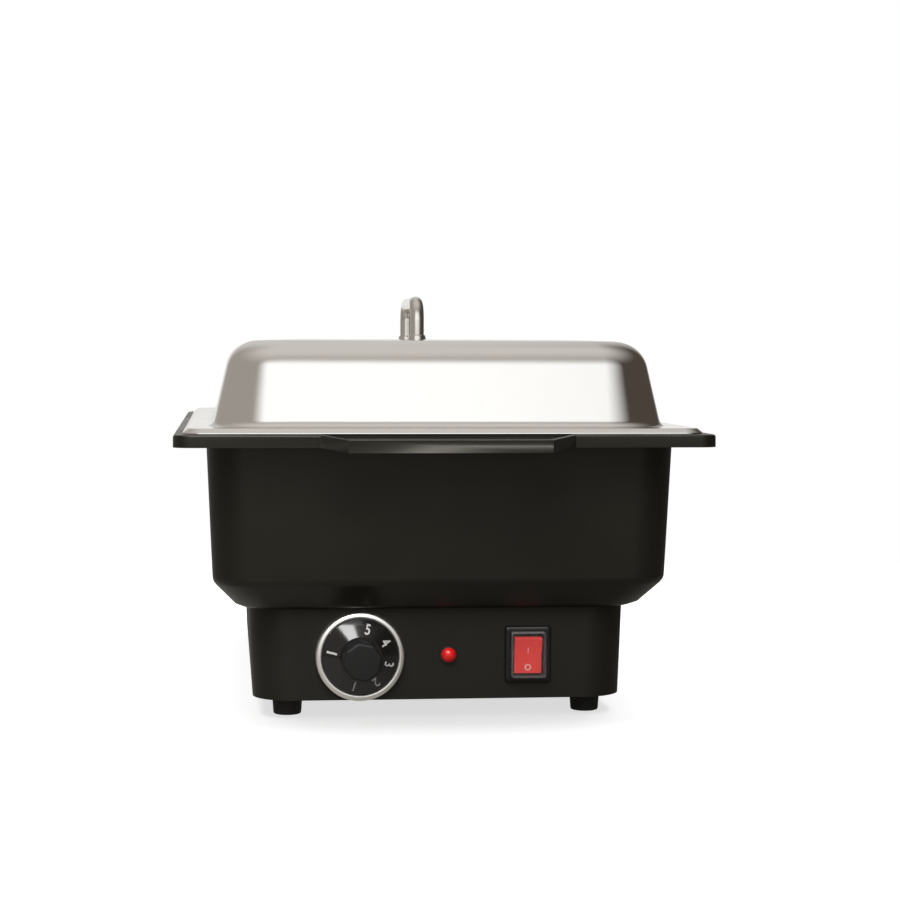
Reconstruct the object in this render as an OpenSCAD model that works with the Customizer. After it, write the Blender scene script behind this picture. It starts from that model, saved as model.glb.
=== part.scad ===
// Electric chafing dish: a moulded water tub on a control base, a gastronorm pan and a lift-off lid.
// The origin is on the table, in the middle of the four feet. X runs across the dish, the controls
// face -Y and Z is up. The pan sets the size of what holds it and of what covers it.

/* [Food pan] */
// Width across the pan's rim
pan_w = 325; // [310:1:345]
// Length along the pan's rim
pan_l = 530; // [500:1:560]
// Depth of the pan from the top of its rim
pan_depth = 65; // [40:1:100]
// Width of the pan's flat rim
pan_rim = 13.5; // [11:0.5:16]
// Height of the rim's turned-down edge
pan_rim_h = 5.4; // [4:0.1:8]
// Corner radius of the rim, seen from above
pan_rim_r = 24; // [20:1:30]
// Corner radius of the pan's body, seen from above
pan_body_r = 30; // [24:1:36]
// How far each wall leans in by the bottom
pan_draft = 6; // [3:0.5:10]
// Radius between the pan's walls and its bottom
pan_bottom_r = 12; // [6:1:16]
// Thickness of the pan's sheet
pan_t = 0.8; // [0.6:0.1:1.2]

/* [Tub] */
// Height from the tub's underside to the top of its flange
tub_h = 118.5; // [115:0.1:150]
// Thickness of the tub's walls
tub_wall = 3; // [2:0.1:4]
// Thickness of the tub's floor
tub_floor = 3; // [2.5:0.1:4.5]
// Gap between the pan's body and the tub's walls
pan_gap = 5; // [3:0.5:8]
// How far each wall leans in above the belly
tub_draft = 4; // [1:0.5:5]
// Corner radius of the tub, seen from above
tub_corner_r = 27; // [20:1:34]
// Height of the belly curve and chamfer under the walls
belly_h = 22; // [20:0.5:24]
// Radius where the walls turn into the belly
belly_r = 8; // [6:1:12]
// Angle of the belly's chamfer below the walls
belly_angle = 42; // [38:1:45]
// Width of the flange beyond each side of the lid
flange_border = 6; // [3:0.5:12]
// Width of the flange beyond each end of the lid
flange_end = 11.5; // [6:0.5:20]
// Height of the flange's outer edge
flange_edge_h = 8.3; // [7:0.1:12]
// Thickness of the flange's edge and of its web
flange_t = 3; // [2:0.1:4]
// Corner radius of the flange, seen from above
flange_r = 12; // [8:1:20]
// Depth of the ledge that the pan's rim rests on
ledge_drop = 2.5; // [2:0.1:4]
// Gap between the pan's rim and the wall round the ledge
ledge_gap = 1.5; // [1:0.1:3]

/* [Grips] */
// How far each end grip stands out past the flange
grip_out = 14; // [10:1:24]
// Width of each grip along its front edge
grip_w = 132; // [90:1:180]
// Width of the slope at each side of a grip
grip_slant = 17; // [8:1:24]
// How far a grip is stepped down below the flange
grip_drop = 2.8; // [2.6:0.1:4]

/* [Control base] */
// Height of the control base
base_h = 62.2; // [62:0.1:80]
// How far the base stands in from the tub's walls
base_inset = 24.5; // [24:0.5:34]
// How far each side leans in by the bottom
base_draft = 2.5; // [0:0.5:4]
// Corner radius of the base, seen from above
base_corner_r = 28; // [20:1:36]
// Thickness of the base's walls
base_wall = 3; // [2:0.1:4]
// Width of the inner lip under the tub
base_lip = 14; // [8:1:18]
// Width of the rib that the bottom cover meets
cover_rib = 4; // [3:0.5:6]
// Thickness of the bottom cover
cover_t = 2; // [1:0.1:3]
// Gap around the bottom cover
cover_gap = 0.4; // [0.2:0.1:1]
// How far the bottom cover is set up inside the base
cover_rise = 2; // [1:0.5:4]
// Length of a vent slot
vent_l = 40; // [20:1:60]
// Width of a vent slot
vent_w = 4; // [2:0.5:5]
// Number of vent slots in a row
vent_count = 9; // [3:1:11]

/* [Feet] */
// Height that the base's lower edge stands above the table
foot_h = 12.2; // [8:0.1:20]
// Diameter of a foot where it meets the table
foot_d = 19; // [16:0.5:24]
// Diameter of a foot where it meets the cover
foot_top_d = 21; // [18:0.5:26]
// Distance from a foot's centre to the base's side
foot_inset_x = 23.5; // [20:0.5:34]
// Distance from a foot's centre to the base's end
foot_inset_y = 24; // [20:0.5:40]

/* [Lid] */
// How far the lid's rim reaches beyond the pan's rim
lid_over = 9.5; // [7:0.5:11]
// Height of the lid above the pan's rim, without its crown
lid_h = 58.5; // [48:0.1:90]
// Rise of the lid's crown
lid_crown = 1; // [0.5:0.1:4]
// Thickness of the lid's sheet
lid_t = 0.8; // [0.6:0.1:1.2]
// Width of the rim's sloping lip
lid_lip = 3.4; // [2.5:0.1:5]
// Width of the rim's flat part
lid_flat = 11; // [8:0.5:13]
// Radius of the hollow curve at the foot of the lid's walls
lid_foot_r = 6; // [3:0.5:8]
// Lean of the lid's walls, in degrees
lid_lean = 13; // [8:1:18]
// Radius where the lid's walls turn into its top
lid_top_r = 22; // [14:1:26]
// Corner radius of the lid's walls, seen from above
lid_corner_r = 33; // [28:1:40]
// Corner radius of the lid's rim, seen from above
lid_rim_r = 14; // [10:1:20]

/* [Lid handle] */
// Distance between the middles of the handle's legs
handle_span = 92; // [70:1:130]
// Height of the handle above the lid's crown
handle_h = 33.6; // [28:0.1:50]
// Diameter of the handle's rod
handle_d = 10.5; // [8:0.5:13]
// Radius of the handle's two bends, at the middle of the rod
handle_bend_r = 13; // [8:1:18]
// Diameter of the ferrule under each leg
ferrule_d = 14; // [13:0.5:20]
// Height of a ferrule
ferrule_h = 4.5; // [3:0.5:8]
// Diameter of the screws in the handle's legs
handle_screw_d = 5; // [4:0.5:6]
// Diameter of the washers under the lid
handle_washer_d = 16; // [12:0.5:22]

/* [Controls] */
// Height of the controls' middle above the base's lower edge
control_h = 30; // [30:0.1:32]
// Place of the knob across the front
knob_x = -54.5; // [-68:0.5:-46]
// Place of the pilot light across the front
pilot_x = 5.5; // [-8:0.5:20]
// Place of the switch across the front
switch_x = 59.5; // [48:0.5:75]
// Outer diameter of the chrome ring
bezel_d = 60; // [56:0.5:60]
// Height of the chrome ring
bezel_h = 6.6; // [5:0.2:10]
// Width of the chrome ring's rim
bezel_rim = 3; // [2:0.1:3.5]
// Thickness of the chrome ring's back plate
bezel_t = 1.2; // [0.8:0.1:2]
// Gap between the knob's skirt and the chrome ring
skirt_gap = 1.2; // [0.6:0.1:2]
// Height of the knob's front above the panel
knob_h = 34; // [28:0.5:38]
// Width of the knob's eight-sided grip across its corners, at its front
grip_d = 27.5; // [24:0.5:30]
// Turn of the grip's eight flats, in degrees
flats_turn = 12.5; // [0:0.5:45]
// Diameter of the thermostat's shaft
shaft_d = 6; // [5:0.1:7]
// Depth of the flat on the shaft
shaft_flat = 1.2; // [0.8:0.1:1.6]
// Diameter of the pilot light's lens
pilot_d = 10; // [8:0.5:13]
// Width of the switch's frame
switch_w = 31.4; // [31:0.1:36]
// Height of the switch's frame
switch_h = 38.3; // [38:0.1:44]
// Thickness of the switch's frame
switch_t = 2.8; // [2.2:0.1:3.6]
// Width of the rocker
rocker_w = 18.8; // [15:0.1:19]
// Length of the rocker
rocker_l = 24.8; // [20:0.1:25]
// Tilt of the rocker to each side, in degrees
rocker_tilt = 11; // [6:1:12]

/* [Heater] */
// Width of the opening in the tub's floor
heat_w = 170; // [150:1:176]
// Length of the opening in the tub's floor
heat_l = 320; // [290:1:350]
// Corner radius of the opening
heat_r = 20; // [10:1:30]
// Width of the joint between plate and floor
seal_w = 14; // [12:0.5:16]
// Thickness of the seal
seal_t = 1; // [0.8:0.1:2]
// Thickness of the heating plate
plate_t = 1.5; // [1:0.1:3]
// Diameter of the tubular heater
element_d = 8; // [6.5:0.5:9]
// Distance between the heater's legs
element_span = 110; // [90:1:124]
// Depth of the heat shield below the plate
shield_drop = 20; // [18:0.5:22]
// Length of the heat shield
shield_l = 250; // [200:1:260]
// Width of the heat shield
shield_w = 176; // [150:1:180]
// Diameter of the thermostat's bulb
bulb_d = 6; // [5:0.5:7]
// Length of the thermostat's bulb
bulb_l = 86; // [60:1:90]

/* [Supply inlet] */
// Place of the gland across the back
gland_x = 70; // [50:1:78]
// Diameter of the cord that the gland takes
gland_bore_d = 7.4; // [6:0.1:8]
// Diameter of the gland's thread
gland_thread_d = 12; // [11:0.5:13]

/* [Hidden] */
$fn = 48;
// Sides of the knob and its ring, of the handle's rod, of the heater and of a wire
fine_fn = 96;
rod_sides = 20;
element_sides = 10;
wire_sides = 8;
// Steps in a quarter turn of a rounded rectangle
corner_steps = 8;
// Overlap that joins two solids of one piece, and reach of a cut past a face
sink = 0.5;
cut = 1;
// Clearance round a fixed screw, round a turning shaft, and between pieces that move apart
screw_gap = 0.2;
shaft_gap = 0.05;
lift_gap = 0.3;

// Heights, from the table up
z_cover = foot_h + cover_rise;
z_cover_top = z_cover + cover_t;
z_floor = foot_h + base_h;
z_water = z_floor + tub_floor;
z_plate = z_water + seal_t;
z_flange = z_floor + tub_h;
z_ledge = z_flange - ledge_drop;
z_pan = z_ledge + pan_rim_h;
z_lid = z_pan + lid_h;
z_crown = z_lid + lid_crown;
z_grip = z_flange - grip_drop;
z_control = foot_h + control_h;

// Widths and lengths that follow from the pan
body_w = pan_w - 2 * pan_rim;
body_l = pan_l - 2 * pan_rim;
tub_w = body_w + 2 * pan_gap + 2 * tub_wall;
tub_l = body_l + 2 * pan_gap + 2 * tub_wall;
lid_w = pan_w + 2 * lid_over;
lid_l = pan_l + 2 * lid_over;
flange_w = lid_w + 2 * flange_border;
flange_l = lid_l + 2 * flange_end;
base_w = tub_w - 2 * tub_draft - 2 * base_inset;
base_l = tub_l - 2 * tub_draft - 2 * base_inset;
y_panel = -base_l / 2;
y_back = base_l / 2;

// Fasteners
screw_d = 4;
screw_hole = screw_d + 2 * screw_gap;
small_screw_d = 3;
small_head_d = 6;
small_head_h = 1.8;
nut_d = 8.1;
nut_h = 3.2;
head_d = 7.5;
head_h = 2.6;
// Thread that shows past a nut, and the deepest that one runs into a boss
thread_over = 2;
thread_in = 8;
sheet_t = 0.8;

// Bosses that tie the tub to the base, the feet, and the studs under the heating plate
boss_d = 10;
boss_h = 34;
boss_gap = 1.5;
tie_x = base_w / 2 - base_lip - boss_gap - boss_d / 2;
tie_y = 150;
tie_end = z_floor - boss_h / 3;
foot_x = base_w / 2 - base_draft - foot_inset_x;
foot_y = base_l / 2 - foot_inset_y;
foot_head_rise = 3;
stud_x = heat_w / 2 + seal_w / 2 + sink;
stud_y = heat_l / 8;
clamp_y = 60;
clamp_stud = 28;

// Heater
plate_over = 1;
gasket_in = 1;
z_element = z_plate - element_d / 2 - shaft_gap;
z_shield = z_plate - shield_drop;
element_end = 12;
element_y = heat_l / 2 - element_end;
element_bend = 10;
pin_x = 20;
pin_d = 3;
pin_drop = 20;
bead_d = element_d + 1;
bead_h = 7;
clamp_t = 1.5;
clamp_w = 12;
clamp_over = 8;
shield_r = 4;
shield_edge = 6;
cutout_x = -25;
cutout_d = 16;
cutout_h = 6;
cutout_ear_w = 14;
cutout_ear_l = 30;
blade_x = 4;
blade_h = 7;
bulb_x = 25;
clip_wing = 6;
clip_band = 8;
capillary_r = 1;

// Thermostat and knob
therm_w = 34;
therm_h = 40;
therm_d = 30;
therm_bush_d = 10;
therm_screw_x = 14;
tube_in_x = 10;
tube_in_z = 12;
skirt_d = bezel_d - 2 * (bezel_rim + skirt_gap);
bezel_roll = 1.2;
bezel_step = 0.5;
knob_back = bezel_t + 0.8;
knob_rim_h = 4;
knob_cone_h = 12;
knob_flats = 8;
knob_taper = 0.6;
knob_cone_d = grip_d + 2 * knob_taper;
knob_shell = 3.5;
hub_d = 13;
knob_front_t = 8;
shaft_out = knob_h - knob_front_t;
flat_rise = 2;
flat_z = knob_back + flat_rise;
flat_y = shaft_d / 2 - shaft_flat;
spring_t = 0.5;
spring_w = 3.6;
spring_l = 9;

// Pilot light and switch
pilot_body_d = 8;
pilot_body_l = 22;
pilot_flange_d = pilot_d + 2;
pilot_flange_h = 1.2;
pilot_rise = 0.9;
pilot_nut_d = 14;
pilot_lead = 2;
switch_body_w = 22;
switch_body_h = 28;
switch_depth = 24;
switch_well = 10;
switch_r = 2;
pivot_z = -2;
pivot_r = 1;
pivot_over = 1.3;
pivot_l = rocker_w / 2 + pivot_over;
rocker_end_h = 3.6;
rocker_mid_h = 1.8;
rocker_gap = 0.5;
rocker_end_gap = 1.25;
rocker_side = 1;
rocker_keel = 4;
boot_w = 23.4;
boot_h = 31.2;
boot_t = 0.8;
boot_seat = 1.2;
boot_rise = 7;
boot_bevel = 1;
boot_r = 1.5;
tab_w = 6.3;
tab_l = 8;
tab_x = 5;
tab_z = 8;

// Supply inlet, terminals and wires
gland_hex_d = 20.8;
gland_hex_h = 5;
gland_thread_in = 10;
gland_thread_out = 8;
gland_cap_d = 18;
gland_cap_h = 15;
gland_cap_nose = 4;
gland_cap_taper = 5;
gland_seal_h = 4;
gland_nut_h = 4;
gland_step = 1;
block_w = 30;
block_l = 16;
block_h = 14;
block_y = 168;
block_pitch = 9;
block_hole = 4;
block_screw_y = 4;
tag_t = 1;
tag_d = 9;
tag_w = 4;
tag_l = 15;
wire_d = 2.6;
pilot_wire_d = 1.6;
lead = 10;
lane_x = 74;
lane_pitch = 5;
lane_z = 22;

// A rounded rectangle's outline, counter-clockwise
function corner(cx, cy, r, start) = [
    for (i = [0:corner_steps]) let (a = start + 90 * i / corner_steps) [cx + r * cos(a), cy + r * sin(a)]
];
function outline(w, l, r) = concat(
    corner(w / 2 - r, l / 2 - r, r, 0),
    corner(r - w / 2, l / 2 - r, r, 90),
    corner(r - w / 2, r - l / 2, r, 180),
    corner(w / 2 - r, r - l / 2, r, 270)
);
// The same outline at a height
function ring(w, l, r, z) = [for (p = outline(w, l, r)) [p[0], p[1], z]];

// A surface through rings of equally many points: outside walls run up and inside walls run down
module skin(rings, closed = false) {
    n = len(rings[0]);
    m = len(rings);
    last = closed ? m - 1 : m - 2;
    walls = [for (i = [0:last], j = [0:n - 1])
        let (k = (j + 1) % n, up = ((i + 1) % m) * n, a = i * n + j, b = i * n + k, c = up + k, d = up + j)
        each [[a, d, c], [a, c, b]]];
    caps = closed ? [] : [[for (j = [0:n - 1]) j], [for (j = [n - 1:-1:0]) (m - 1) * n + j]];
    polyhedron([for (r = rings) each r], concat(walls, caps), convexity = 10);
}

// A plate with round corners, standing on z = 0
module plate(w, l, r, h) {
    linear_extrude(h) polygon(outline(w, l, r));
}

// A hole from just under z = 0 to just over a height
module hole(d, h) {
    translate([0, 0, -cut]) cylinder(h = h + 2 * cut, d = d);
}

// A block in the middle of x and y, standing on z = 0
module block(w, l, h) {
    translate([-w / 2, -l / 2, 0]) cube([w, l, h]);
}

// Unit vectors along a path, and one square to it that turns no more than it must
upright = 0.9;
function unit(v) = v / norm(v);
function heading(p, i) =
    i == 0 ? unit(p[1] - p[0]) :
    i == len(p) - 1 ? unit(p[i] - p[i - 1]) :
    unit(unit(p[i + 1] - p[i]) + unit(p[i] - p[i - 1]));
function square_to(t) = unit(cross(t, abs(t[2]) < upright ? [0, 0, 1] : [1, 0, 0]));
function sides_of(p, i, u) =
    let (t = heading(p, i), v = unit(u - (u * t) * t))
    i == len(p) - 1 ? [v] : concat([v], sides_of(p, i + 1, v));

// A round bar along a path
module tube(path, r, sides) {
    us = sides_of(path, 0, square_to(heading(path, 0)));
    rings = [for (i = [0:len(path) - 1])
        let (u = us[i], v = cross(heading(path, i), us[i]))
        [for (k = [0:sides - 1]) path[i] + r * (cos(360 * k / sides) * u + sin(360 * k / sides) * v)]];
    skin(rings);
}

// Points of a quarter arc that starts in direction u and ends in direction v
function arc(c, r, u, v, steps) = [
    for (i = [0:steps]) c + r * (cos(90 * i / steps) * u + sin(90 * i / steps) * v)
];
// Points of a smooth curve through given points
curve_steps = 5;
function blend(a, b, c, d, t) =
    0.5 * (2 * b + (c - a) * t + (2 * a - 5 * b + 4 * c - d) * t * t + (3 * b - a - 3 * c + d) * t * t * t);
function curve(p) = concat(
    [for (i = [0:len(p) - 2], k = [0:curve_steps - 1])
        blend(p[max(i - 1, 0)], p[i], p[i + 1], p[min(i + 2, len(p) - 1)], k / curve_steps)],
    [p[len(p) - 1]]
);

// Places: Z out of the front panel, Z out of the back, and the four corners of a rectangle
module on_panel(x) {
    translate([x, y_panel, z_control]) rotate([90, 0, 0]) children();
}
module on_back(x) {
    translate([x, y_back, z_control]) rotate([-90, 0, 0]) children();
}
module at_corners(x, y) {
    for (sx = [-1, 1], sy = [-1, 1]) translate([sx * x, sy * y, 0]) children();
}
module at_ties() {
    for (sx = [-1, 1], y = [-tie_y, 0, tie_y]) translate([sx * tie_x, y, 0]) children();
}
module at_studs() {
    for (sx = [-1, 1], k = [-3:2:3]) translate([sx * stud_x, k * stud_y, 0]) children();
}
module at_clamps() {
    for (s = [-1, 1]) translate([0, s * clamp_y, 0]) children();
}
module at_therm_screws() {
    for (s = [-1, 1]) translate([s * therm_screw_x, 0, 0]) children();
}
module hex_nut(d, h, bore_d) {
    difference() {
        cylinder(h = h, d = d, $fn = 6);
        hole(bore_d, h);
    }
}
module nut() {
    hex_nut(nut_d, nut_h, screw_hole);
}

// Rings of the tub, up the outside, over the flange and down the inside
function tub_ring(inset, z, r) = ring(tub_w - 2 * inset, tub_l - 2 * inset, r, z);
z_belly = z_floor + belly_h;
z_lip = z_flange - flange_edge_h;
belly_x = belly_r * (1 - cos(belly_angle));
belly_z = belly_r * sin(belly_angle);
toe_h = 2.4;
toe_out = 5;
chamfer_z = belly_h - belly_z - toe_h;
chamfer_x = chamfer_z * tan(belly_angle);
in_r = tub_corner_r - tub_wall;
in_chamfer_x = (belly_h - belly_z + tub_wall * sin(belly_angle) - tub_floor) * tan(belly_angle);
belly_in_x = tub_draft + belly_x + tub_wall * cos(belly_angle);
web_z = z_ledge - flange_t;
edge_round = 1.6;
function belly(r, k) = [
    tub_draft + belly_r - r * cos(belly_angle * k),
    z_belly - r * sin(belly_angle * k)
];
function flange_ring(inset, z) = ring(flange_w - 2 * inset, flange_l - 2 * inset, flange_r - inset, z);
function ledge_ring(z) = ring(pan_w + 2 * ledge_gap, pan_l + 2 * ledge_gap, pan_rim_r + ledge_gap, z);
tub_rings = concat(
    [
        ring(heat_w, heat_l, heat_r, z_floor),
        tub_ring(tub_draft + belly_x + chamfer_x + toe_out, z_floor, tub_corner_r),
        tub_ring(tub_draft + belly_x + chamfer_x, z_floor + toe_h, tub_corner_r)
    ],
    [for (k = [1, 2 / 3, 1 / 3, 0]) let (p = belly(belly_r, k)) tub_ring(p[0], p[1], tub_corner_r)],
    [
        tub_ring(0, web_z, tub_corner_r),
        flange_ring(flange_t, web_z),
        flange_ring(flange_t, z_lip),
        flange_ring(0, z_lip)
    ],
    [for (a = [0, 45, 90]) flange_ring(edge_round * (1 - cos(a)), z_flange - edge_round * (1 - sin(a)))],
    [ledge_ring(z_flange), ledge_ring(z_ledge), tub_ring(tub_wall, z_ledge, in_r)],
    [for (k = [0, 1 / 3, 2 / 3, 1]) let (p = belly(belly_r - tub_wall, k)) tub_ring(p[0], p[1], in_r)],
    [tub_ring(belly_in_x + in_chamfer_x, z_water, in_r), ring(heat_w, heat_l, heat_r, z_water)]
);

// Grips at the flange's two ends, drawn at the front end
grip_half = grip_w / 2;
grip_wide = grip_half + grip_slant;
grip_in = grip_half - flange_t / 2;
grip_in_wide = grip_in + grip_slant - 2 * flange_t;
// How far under the lid's edge the step down to a grip begins
grip_step = 2;

module grip_slab() {
    intersection() {
        translate([0, sink - flange_l / 2, 0]) rotate([90, 0, 0])
            linear_extrude(grip_out + 2 * sink)
            polygon([
                [-grip_wide, z_lip], [-grip_half, z_lip - grip_drop],
                [grip_half, z_lip - grip_drop], [grip_wide, z_lip],
                [grip_wide, z_flange], [grip_half, z_grip],
                [-grip_half, z_grip], [-grip_wide, z_flange]
            ]);
        translate([0, -flange_l / 2, z_lip - grip_drop - cut])
            linear_extrude(flange_edge_h + grip_drop + 2 * cut)
            polygon([
                [-grip_wide, 2 * sink], [-grip_wide, 0], [-grip_half, -grip_out],
                [grip_half, -grip_out], [grip_wide, 0], [grip_wide, 2 * sink]
            ]);
    }
}

module grip_cuts() {
    step_y = lid_l / 2 - grip_step;
    reach = flange_l / 2 - step_y + grip_out + cut;
    translate([0, -step_y, 0]) rotate([90, 0, 0])
        linear_extrude(reach)
        polygon([
            [-grip_wide, z_flange], [-grip_half, z_grip], [grip_half, z_grip],
            [grip_wide, z_flange], [grip_wide, z_flange + cut], [-grip_wide, z_flange + cut]
        ]);
    translate([0, -flange_l / 2, z_lip - grip_drop - cut])
        linear_extrude(flange_edge_h - flange_t + cut)
        polygon([
            [-grip_in_wide, flange_t + sink], [-grip_in_wide, 0], [-grip_in, flange_t - grip_out],
            [grip_in, flange_t - grip_out], [grip_in_wide, 0], [grip_in_wide, flange_t + sink]
        ]);
}

module tub() {
    color("#262521")
    difference() {
        union() {
            skin(tub_rings, closed = true);
            for (a = [0, 180]) rotate([0, 0, a]) grip_slab();
            at_ties() translate([0, 0, z_floor - boss_h]) cylinder(h = boss_h + sink, d = boss_d);
        }
        for (a = [0, 180]) rotate([0, 0, a]) grip_cuts();
        at_ties() translate([0, 0, z_floor - boss_h - cut]) cylinder(h = boss_h, d = screw_hole);
        at_studs() translate([0, 0, z_floor]) hole(screw_hole, tub_floor);
    }
}

// Rings of the base, up the outside and down the inside
rib_h = 3;
base_in_r = base_corner_r - base_wall;
function base_ring(inset, z, r) =
    let (lean = base_draft * (z_floor - z) / base_h)
    ring(base_w - 2 * lean - 2 * inset, base_l - 2 * inset, r, z);
base_rings = [
    base_ring(0, foot_h, base_corner_r),
    base_ring(0, z_floor, base_corner_r),
    base_ring(base_lip, z_floor, base_corner_r - base_lip),
    base_ring(base_lip, z_floor - base_wall, base_corner_r - base_lip),
    base_ring(base_wall, z_floor - base_wall, base_in_r),
    base_ring(base_wall, z_cover_top + rib_h, base_in_r),
    base_ring(base_wall + cover_rib, z_cover_top + rib_h, base_in_r - cover_rib),
    base_ring(base_wall + cover_rib, z_cover_top, base_in_r - cover_rib),
    base_ring(base_wall, z_cover_top, base_in_r),
    base_ring(base_wall, foot_h, base_in_r)
];

module base_housing() {
    color("#1e1e1a")
    difference() {
        skin(base_rings, closed = true);
        on_panel(knob_x) translate([0, 0, -base_wall]) {
            hole(therm_bush_d + 2 * screw_gap, base_wall);
            at_therm_screws() hole(small_screw_d + 2 * screw_gap, base_wall);
        }
        on_panel(pilot_x) translate([0, 0, -base_wall]) hole(pilot_body_d + 2 * screw_gap, base_wall);
        on_panel(switch_x) translate([0, 0, -base_wall - cut])
            block(switch_body_w + 2 * screw_gap, switch_body_h + 2 * screw_gap, base_wall + 2 * cut);
        on_back(gland_x) translate([0, 0, -base_wall]) hole(gland_thread_d + 2 * screw_gap, base_wall);
    }
}

module bottom_cover() {
    inset = base_wall + cover_gap;
    cover_w = base_w - 2 * base_draft - 2 * inset;
    vent_pitch = 2 * vent_w;
    color("#2b2b29")
    translate([0, 0, z_cover])
    difference() {
        plate(cover_w, base_l - 2 * inset, base_corner_r - inset, cover_t);
        at_ties() hole(screw_hole, cover_t);
        at_corners(foot_x, foot_y) hole(screw_hole, cover_t);
        for (s = [-1, 1], k = [0:vent_count - 1])
            translate([s * vent_l, (k - (vent_count - 1) / 2) * vent_pitch, -cut])
                block(vent_l, vent_w, cover_t + 2 * cut);
    }
}

module foot(sx, sy) {
    color("#161616")
    translate([sx * foot_x, sy * foot_y, 0])
    difference() {
        cylinder(h = z_cover, d1 = foot_d, d2 = foot_top_d);
        translate([0, 0, -cut]) cylinder(h = foot_head_rise + head_h + cut, d = head_d + 4 * screw_gap);
        hole(screw_hole, z_cover);
    }
}
module foot_front_left() { foot(-1, -1); }
module foot_front_right() { foot(1, -1); }
module foot_rear_left() { foot(-1, 1); }
module foot_rear_right() { foot(1, 1); }

module foot_screws() {
    color("silver")
    at_corners(foot_x, foot_y) translate([0, 0, foot_head_rise]) {
        translate([0, 0, head_h]) mirror([0, 0, 1]) cylinder(h = head_h, d = head_d);
        cylinder(h = z_cover_top + nut_h + thread_over - foot_head_rise, d = screw_d);
    }
}

module foot_nuts() {
    color("silver")
    at_corners(foot_x, foot_y) translate([0, 0, z_cover_top]) nut();
}

module tie_screws() {
    color("silver")
    at_ties() {
        translate([0, 0, z_cover - head_h]) cylinder(h = head_h, d = head_d);
        translate([0, 0, z_cover - sink]) cylinder(h = tie_end - z_cover + sink, d = screw_d);
    }
}

// Rings of the pan, up the outside, over the rim and down the inside
function pan_ring(lean, inset, z, r) = ring(body_w - 2 * (lean + inset), body_l - 2 * (lean + inset), r, z);
function rim_ring(inset, z) = ring(pan_w - 2 * inset, pan_l - 2 * inset, pan_rim_r - inset, z);
function pan_bottom(r, a, inset) = pan_ring(
    pan_draft + pan_bottom_r - inset - r * sin(a), inset,
    z_pan - pan_depth + pan_bottom_r - r * cos(a),
    pan_body_r - inset - pan_bottom_r * (1 - sin(a)) / 2
);
pan_rings = concat(
    [for (a = [0:30:90]) pan_bottom(pan_bottom_r, a, 0)],
    [
        pan_ring(0, 0, z_pan - pan_t, pan_body_r),
        rim_ring(pan_t, z_pan - pan_t),
        rim_ring(pan_t, z_ledge),
        rim_ring(0, z_ledge),
        rim_ring(0, z_pan),
        pan_ring(0, pan_t, z_pan, pan_body_r - pan_t)
    ],
    [for (a = [90:-30:0]) pan_bottom(pan_bottom_r - pan_t, a, pan_t)]
);

module food_pan() {
    color("gainsboro") skin(pan_rings);
}

// Rings of the lid, down the inside, round the lip and up the outside, from where its walls meet the rim
foot_w = lid_w - 2 * (lid_lip + lid_flat);
foot_l = lid_l - 2 * (lid_lip + lid_flat);
foot_steps = 3;
top_steps = 6;
crown_run = 45;
corner_fade = 0.6;
corner_least = 6;
lean_arc = 90 - lid_lean;
wall_low = lid_foot_r * (1 - sin(lid_lean));
wall_high = lid_h - lid_top_r * (1 - sin(lid_lean));
wall_run = (wall_high - wall_low - lid_t) * tan(lid_lean);
top_in = (lid_foot_r + lid_top_r) * cos(lid_lean) + wall_run;
lip_w = lid_w - 2 * lid_lip;
lip_l = lid_l - 2 * lid_lip;
lip_r = lid_rim_r - lid_lip;
z_lip_under = z_flange + lift_gap;
function lid_ring(inset, z) = ring(
    foot_w - 2 * inset, foot_l - 2 * inset, max(lid_corner_r - corner_fade * inset, corner_least), z
);
// Inset and height of the outside, or of the inside when t is the sheet's thickness
function foot_arc(i, t) =
    let (a = lean_arc * i / foot_steps)
    [(lid_foot_r + t) * sin(a), z_pan + lid_t + lid_foot_r - (lid_foot_r + t) * cos(a)];
function top_arc(i, t) =
    let (a = lid_lean + lean_arc * i / top_steps)
    [top_in - (lid_top_r - t) * cos(a), z_lid - lid_top_r + (lid_top_r - t) * sin(a)];
lid_rings = concat(
    [lid_ring(top_in + crown_run, z_crown - lid_t)],
    [for (i = [top_steps:-1:0]) let (p = top_arc(i, lid_t)) lid_ring(p[0], p[1])],
    [for (i = [foot_steps:-1:0]) let (p = foot_arc(i, lid_t)) lid_ring(p[0], p[1])],
    [
        ring(lip_w - lid_t, lip_l - lid_t, lip_r, z_pan),
        ring(lid_w - 2 * lid_t, lid_l - 2 * lid_t, lid_rim_r - lid_t, z_lip_under),
        ring(lid_w, lid_l, lid_rim_r, z_lip_under),
        ring(lid_w, lid_l, lid_rim_r, z_lip_under + lid_t),
        ring(lip_w, lip_l, lip_r, z_pan + lid_t)
    ],
    [for (i = [0:foot_steps]) let (p = foot_arc(i, 0)) lid_ring(p[0], p[1])],
    [for (i = [0:top_steps]) let (p = top_arc(i, 0)) lid_ring(p[0], p[1])],
    [lid_ring(top_in + crown_run, z_crown)]
);

handle_hole = handle_screw_d + 2 * screw_gap;
handle_thread = 10;
handle_steps = 8;
washer_t = 1;
z_washer = z_crown - lid_t - washer_t;
z_foot = z_crown + ferrule_h;
module at_legs(z) {
    for (s = [-1, 1]) translate([0, s * handle_span / 2, z]) children();
}

module lid_shell() {
    color("silver")
    difference() {
        skin(lid_rings);
        at_legs(z_crown - lid_t) hole(handle_hole, lid_t);
    }
}

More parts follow.
